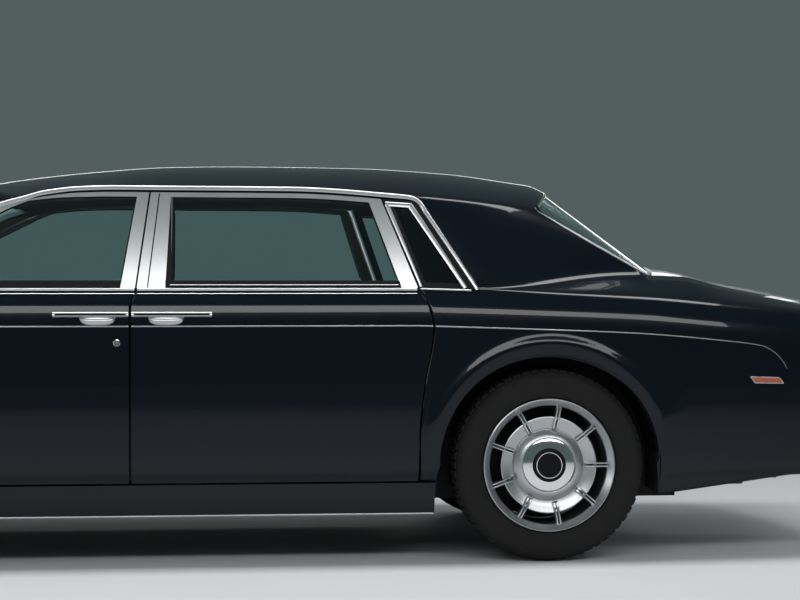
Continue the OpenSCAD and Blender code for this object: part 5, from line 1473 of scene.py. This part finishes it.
def shut_face(back):
    z = np.linspace(345.0, 1112.0, 24)
    return wall_inwards(rear_edge(z) + GAP + back, z, 640.0)


for end, axle, inner, behind in houses:
    points, faces = house(axle, inner, behind)
    for side, way in ways:
        world = points * np.array([1, way, 1])
        solid(f"wheel_house_{end}_{side}", world, faces, underbody, "body", "underbody")
for side, turn in sides:
    for end, axle, inner, behind in houses:
        walls = turn(tub(axle, inner, TUB_OUT)), turn(tub(axle, inner, TUB_IN))
        panel(f"wheel_tub_{end}_{side}", [walls], underbody, "body", (), 0)
    panel(f"door_shut_face_{side}", [(turn(shut_face(15.0)), turn(shut_face(10.0)))], paint, "body",
          (), 0)

# %% Wipers
STEPS = 20
for k, (w0, w1) in enumerate(((-0.86, -0.12), (-0.02, 0.72))):
    run_up = zip(np.linspace(0, 1, STEPS), np.linspace(w0, w1, STEPS))
    blade_path = np.stack([screen_point(np.array(0.05 + 0.05 * t), np.array(w), 9.0) for t, w in run_up], 0)
    tube(f"wiper_blade_{k}", blade_path, 6.0, black_trim, "body", False, 8, (0.6, 1.0))
    hold, pivot = shifted(blade_path[10], -4.0, 0, 8.0), screen_point(np.array(-0.05), np.array(w1), 14.0)
    arm_path = np.stack([mix(hold, pivot, t) for t in np.linspace(0, 1, 8)], 0)
    tube(f"wiper_arm_{k}", arm_path, 7.0, black_trim, "body", False, 8, (0.6, 1.0))

# %% Thin strips at the sills and ends
SILL_FOOT = np.full(40, 198.0)
sill_x = np.linspace(-1590, 1188, 40)
sill_foot = np.stack([sill_x, 0.5 - side_half(sill_x, SILL_FOOT), SILL_FOOT], -1)
for side, turn in sides:
    tube(f"sill_strip_{side}", turn(sill_foot[None])[0], 4.5, satin_steel, "body", False)
wide = np.linspace(-1, 1, 41)
front_strip = shifted(nose_face(700 * wide, np.full(41, 462.0)), -3.0)
rear_strip = shifted(tail_face(770 * wide, np.full(41, 600.0)), -6.5)
tube("bumper_strip_front", front_strip, 9.0, chrome, "body", False, 10)
tube("bumper_strip_rear", rear_strip, 6.0, chrome, "body", False, 10)
boot_bar = shifted(np.stack([boot_point(np.array(1.66), np.array(w)) for w in 0.62 * wide], 0), -6.0)
tube("boot_bar", boot_bar, 11.0, chrome, "boot_lid", False, 12)
print("lamps, grille and wipers made")

# %% [markdown]
# The seats are foam under soft leather, so they are crowned and their sides pull in between the seams. Each
# pad starts as a plain block cut from the seat's side outline. A voxel remesh gives it an even net of points,
# and the cloth solver blows it up with a little pressure. How far a point may move is capped, so the pad
# keeps its size. The sewn channels are pressed in afterwards, because a remesh would erase them.

# %% Seat pads by cloth simulation
SEAT_Z, FRONT_SEAT_X, REAR_SEAT_X, SEAT_DEEP, PAD_HALF = 245.4, -660.0, 402.0, 500.0, 246.0
PAD_NET, PAD_CAP, PAD_EDGE, PRESSURE, CLOTH_FRAMES = 9.0, 24.0, 30.0, 4.0, 20
CHANNELS, CHANNEL_WIDE, CHANNEL_DEEP, WELT_Z = np.linspace(-150, 150, 6), 7.0, 7.0, 262.0


def pad_block(name, outline, half):
    n = len(outline)
    points = [(x, s * half, z) for s in (-1, 1) for x, z in outline]
    faces = [tuple(range(n)), tuple(range(n, 2 * n))[::-1]]
    faces += [((k + 1) % n, k, n + k, n + (k + 1) % n) for k in range(n)]
    block = bpy.data.objects.new(name, mesh_of(name, np.array(points) * MM, faces, True))
    bpy.context.scene.collection.objects.link(block)
    soft = block.modifiers.new("soft_edges", "BEVEL")
    soft.width, soft.segments = PAD_EDGE * MM, 4
    net = block.modifiers.new("net", "REMESH")
    net.mode, net.voxel_size = "VOXEL", PAD_NET * MM
    return baked(block)


def blown_up(block):
    rest = np.array([v.co for v in block.data.vertices])
    cloth = block.modifiers.new("stuffing", "CLOTH")
    cloth.settings.use_pressure, cloth.settings.uniform_pressure_force = True, PRESSURE
    cloth.settings.effector_weights.gravity = 0.0
    for frame_now in range(1, CLOTH_FRAMES + 1):
        bpy.context.scene.frame_set(frame_now)
    baked(block)
    bpy.context.scene.frame_set(1)
    move = np.array([v.co for v in block.data.vertices]) - rest
    far = np.linalg.norm(move, axis=1)[:, None] + 1e-9
    return rest + move * np.minimum(1.0, PAD_CAP * MM / far)


def stuffed(name, outline, half, channels, slope):
    block = pad_block(name, outline, half)
    points = blown_up(block)
    points /= MM
    facing = np.array(slope) / np.linalg.norm(slope)
    height = points @ facing
    top = clamp((height - (height.max() - 60)) / 30)
    press = sum((np.exp(-((points[:, 1] - y) / CHANNEL_WIDE) ** 2) for y in channels), 0 * height)
    points = points - facing * (CHANNEL_DEEP * press * top)[:, None]
    block.data.vertices.foreach_set("co", (points * MM).ravel())
    finer = block.modifiers.new("finer", "SUBSURF")
    finer.levels = finer.render_levels = 1
    done = mesh_data(baked(block).data)
    bpy.data.objects.remove(block)
    print(name, len(done[1]), "faces")
    return done


cushion = stuffed("cushion_pad", [(22, 190), (478, 190), (478, 248), (60, 306), (22, 250)], PAD_HALF,
                  CHANNELS, (0.0, 0.0, 1.0))
back_pad = stuffed("back_pad", [(20, 318), (128, 318), (196, 690), (120, 690)], PAD_HALF, CHANNELS,
                   (-0.97, 0, 0.24))
head_pad = stuffed("head_pad", [(142, 732), (206, 732), (222, 832), (152, 832)], 120.0, (), (-1.0, 0, 0.2))


def pad(name, shape, x, y, narrow=1.0, stands_for=()):
    points, faces = shape
    mesh = mesh_of(name, (points * np.array([1, narrow, 1]) + np.array([x, y, SEAT_Z])) * MM, faces)
    piece = finish_mesh(name, mesh, leather, "body", 180.0)
    if stands_for:
        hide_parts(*stands_for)
    return piece


def welt(name, shape, x, y, narrow):
    points = shape[0] * np.array([1, narrow, 1])
    near = points[np.abs(points[:, 2] - WELT_Z) < PAD_NET]
    middle = near.mean(0)
    spread = (near - middle)[:, :2] / np.ptp(near[:, :2], axis=0)
    around = np.arctan2(spread[:, 1], spread[:, 0])
    loop = []
    for a in np.linspace(-math.pi, math.pi, 72, endpoint=False):
        chosen = near[np.abs(np.angle(np.exp(1j * (around - a)))) < 0.09]
        if len(chosen):
            loop.append(chosen[np.argmax(np.hypot(chosen[:, 0] - middle[0], chosen[:, 1] - middle[1]))])
    loop = np.array(loop)
    loop[:, 2] = WELT_Z
    for _ in range(3):
        loop = 0.5 * loop + 0.25 * (np.roll(loop, 1, 0) + np.roll(loop, -1, 0))
    tube(name, loop + np.array([x, y, SEAT_Z]), 4.0, piping, "body")


def plinth(name, x, y, half):
    ring = [(30, -half), (470, -half), (470, half), (30, half)]
    points = [(x + (px if z else px * 0.96 + 10), y + py * (1.0 if z else 0.94), SEAT_Z + z)
              for z in (0.0, 150.0, 186.0) for px, py in ring]
    solid(name, points, [(3, 2, 1, 0), (8, 9, 10, 11)] + net_faces(3, 4), carpet, "body", "black_trim")


def back_shell(name, x, y, half):
    outline = [(132, 150), (142, 150), (240, 700), (228, 700), (40, 220), (40, 150)]
    points = [(x + px, y + s * half, SEAT_Z + pz) for s in (-1, 1) for px, pz in outline]
    n = len(outline)
    faces = [tuple(range(n)), tuple(range(n, 2 * n))] + net_faces(2, n)
    solid(name, points, faces, carpet, "body", "black_trim")


places = (("front_left", FRONT_SEAT_X, -400.0, 1.0), ("front_right", FRONT_SEAT_X, 400.0, 1.0),
          ("rear_left", REAR_SEAT_X, -416.0, 1.0), ("rear_right", REAR_SEAT_X, 416.0, 1.0),
          ("rear_middle", REAR_SEAT_X, 0.0, 0.52))
for name, x, y, narrow in places:
    stands_for = {"front_left": ["front_seats"], "rear_left": ["rear_seat"]}.get(name, ())
    pad(f"cushion_{name}", cushion, x, y, narrow, stands_for)
    pad(f"back_{name}", back_pad, x + SEAT_DEEP, y, narrow)
    pad(f"headrest_{name}", head_pad, x + SEAT_DEEP, y, narrow if narrow == 1.0 else 0.8)
    plinth(f"seat_plinth_{name}", x, y, 250 * narrow)
    back_shell(f"seat_shell_{name}", x + SEAT_DEEP, y, 240 * narrow)
    welt(f"cushion_welt_{name}", cushion, x, y, narrow)

# %% [markdown]
# Open doors show the cabin, so it has carpet, a cloth headlining and door cards with a veneer fillet and an
# armrest.

# %% Carpet, headlining and door cards
floor_x, floor_y = np.linspace(-1150, 1000, 12), np.linspace(-740, 740, 9)
carpet_top = np.array([[(x, y, 251.0) for x in floor_x] for y in floor_y])
panel("carpet", [(carpet_top, shifted(carpet_top, z=-5.6))], carpet, "body", (), 1.0)
lining_x = np.linspace(ROOF_FRONT + 70, ROOF_BACK - 70, 30)
under_roof = np.stack([roof_point(lining_x, np.full(30, w)) for w in np.linspace(-0.93, 0.93, 21)], 0)
lining = shifted(under_roof, z=-40.0)
panel("headlining", [(lining, shifted(lining, z=-6.0))], headlining, "body", (), 0)
card_z = np.concatenate([np.linspace(380, 900, 10), np.linspace(920, 1085, 6)])
for end, (front, back) in door_edges.items():
    card = door_grid(lambda z, e=front: e(np.minimum(z, BELT)) + 70,
                     lambda z, e=back: e(np.minimum(z, 900.0)) - 80, card_z, 24)
    fillet = card[-4:-1, 1:-1]
    points, faces = pillow(inset(card[8, 12], 150.0), (250, 32, 30), 4.0)
    for side, turn in sides:
        body, flip = f"door_{end}_{side}", np.array([1, 1 if side == "left" else -1, 1])
        panel(f"{body}_card", [(turn(inset(card, 110.5)), turn(inset(card, 121.0)))], leather, body,
              (), 3.0)
        panel(f"{body}_fillet", [(turn(inset(fillet, 120.5)), turn(inset(fillet, 127.0)))], wood, body,
              (), 2.0)
        solid(f"{body}_armrest", points * flip, faces, leather, body, "leather")
print("cabin furnished")

# %% [markdown]
# What is left of the CAD solids shows as it is, with the finish its slot asks for.

# %% Finishes for the remaining solids
finish_of = {"paint": paint, "brightwork": satin_steel, "chrome": chrome, "glass": tinted_glass,
             "lamp_clear": lens_clear, "lamp_red": lens_red, "black_trim": black_trim, "underbody": underbody,
             "wood": wood, "leather": leather, "engine_metal": cast_metal, "steel": plain_steel,
             "wheel_metal": wheel_satin, "tyre": rubber}
slot_of = {row["node"]: row["material_slot"] for row in frame["record"]["subparts"]}
shown = 0
for name, piece in nodes.items():
    if not piece.hide_render:
        shown += 1
        piece.data.materials.clear()
        piece.data.materials.append(finish_of.get(slot_of.get(name), black_trim))
print("CAD nodes still shown:", shown)
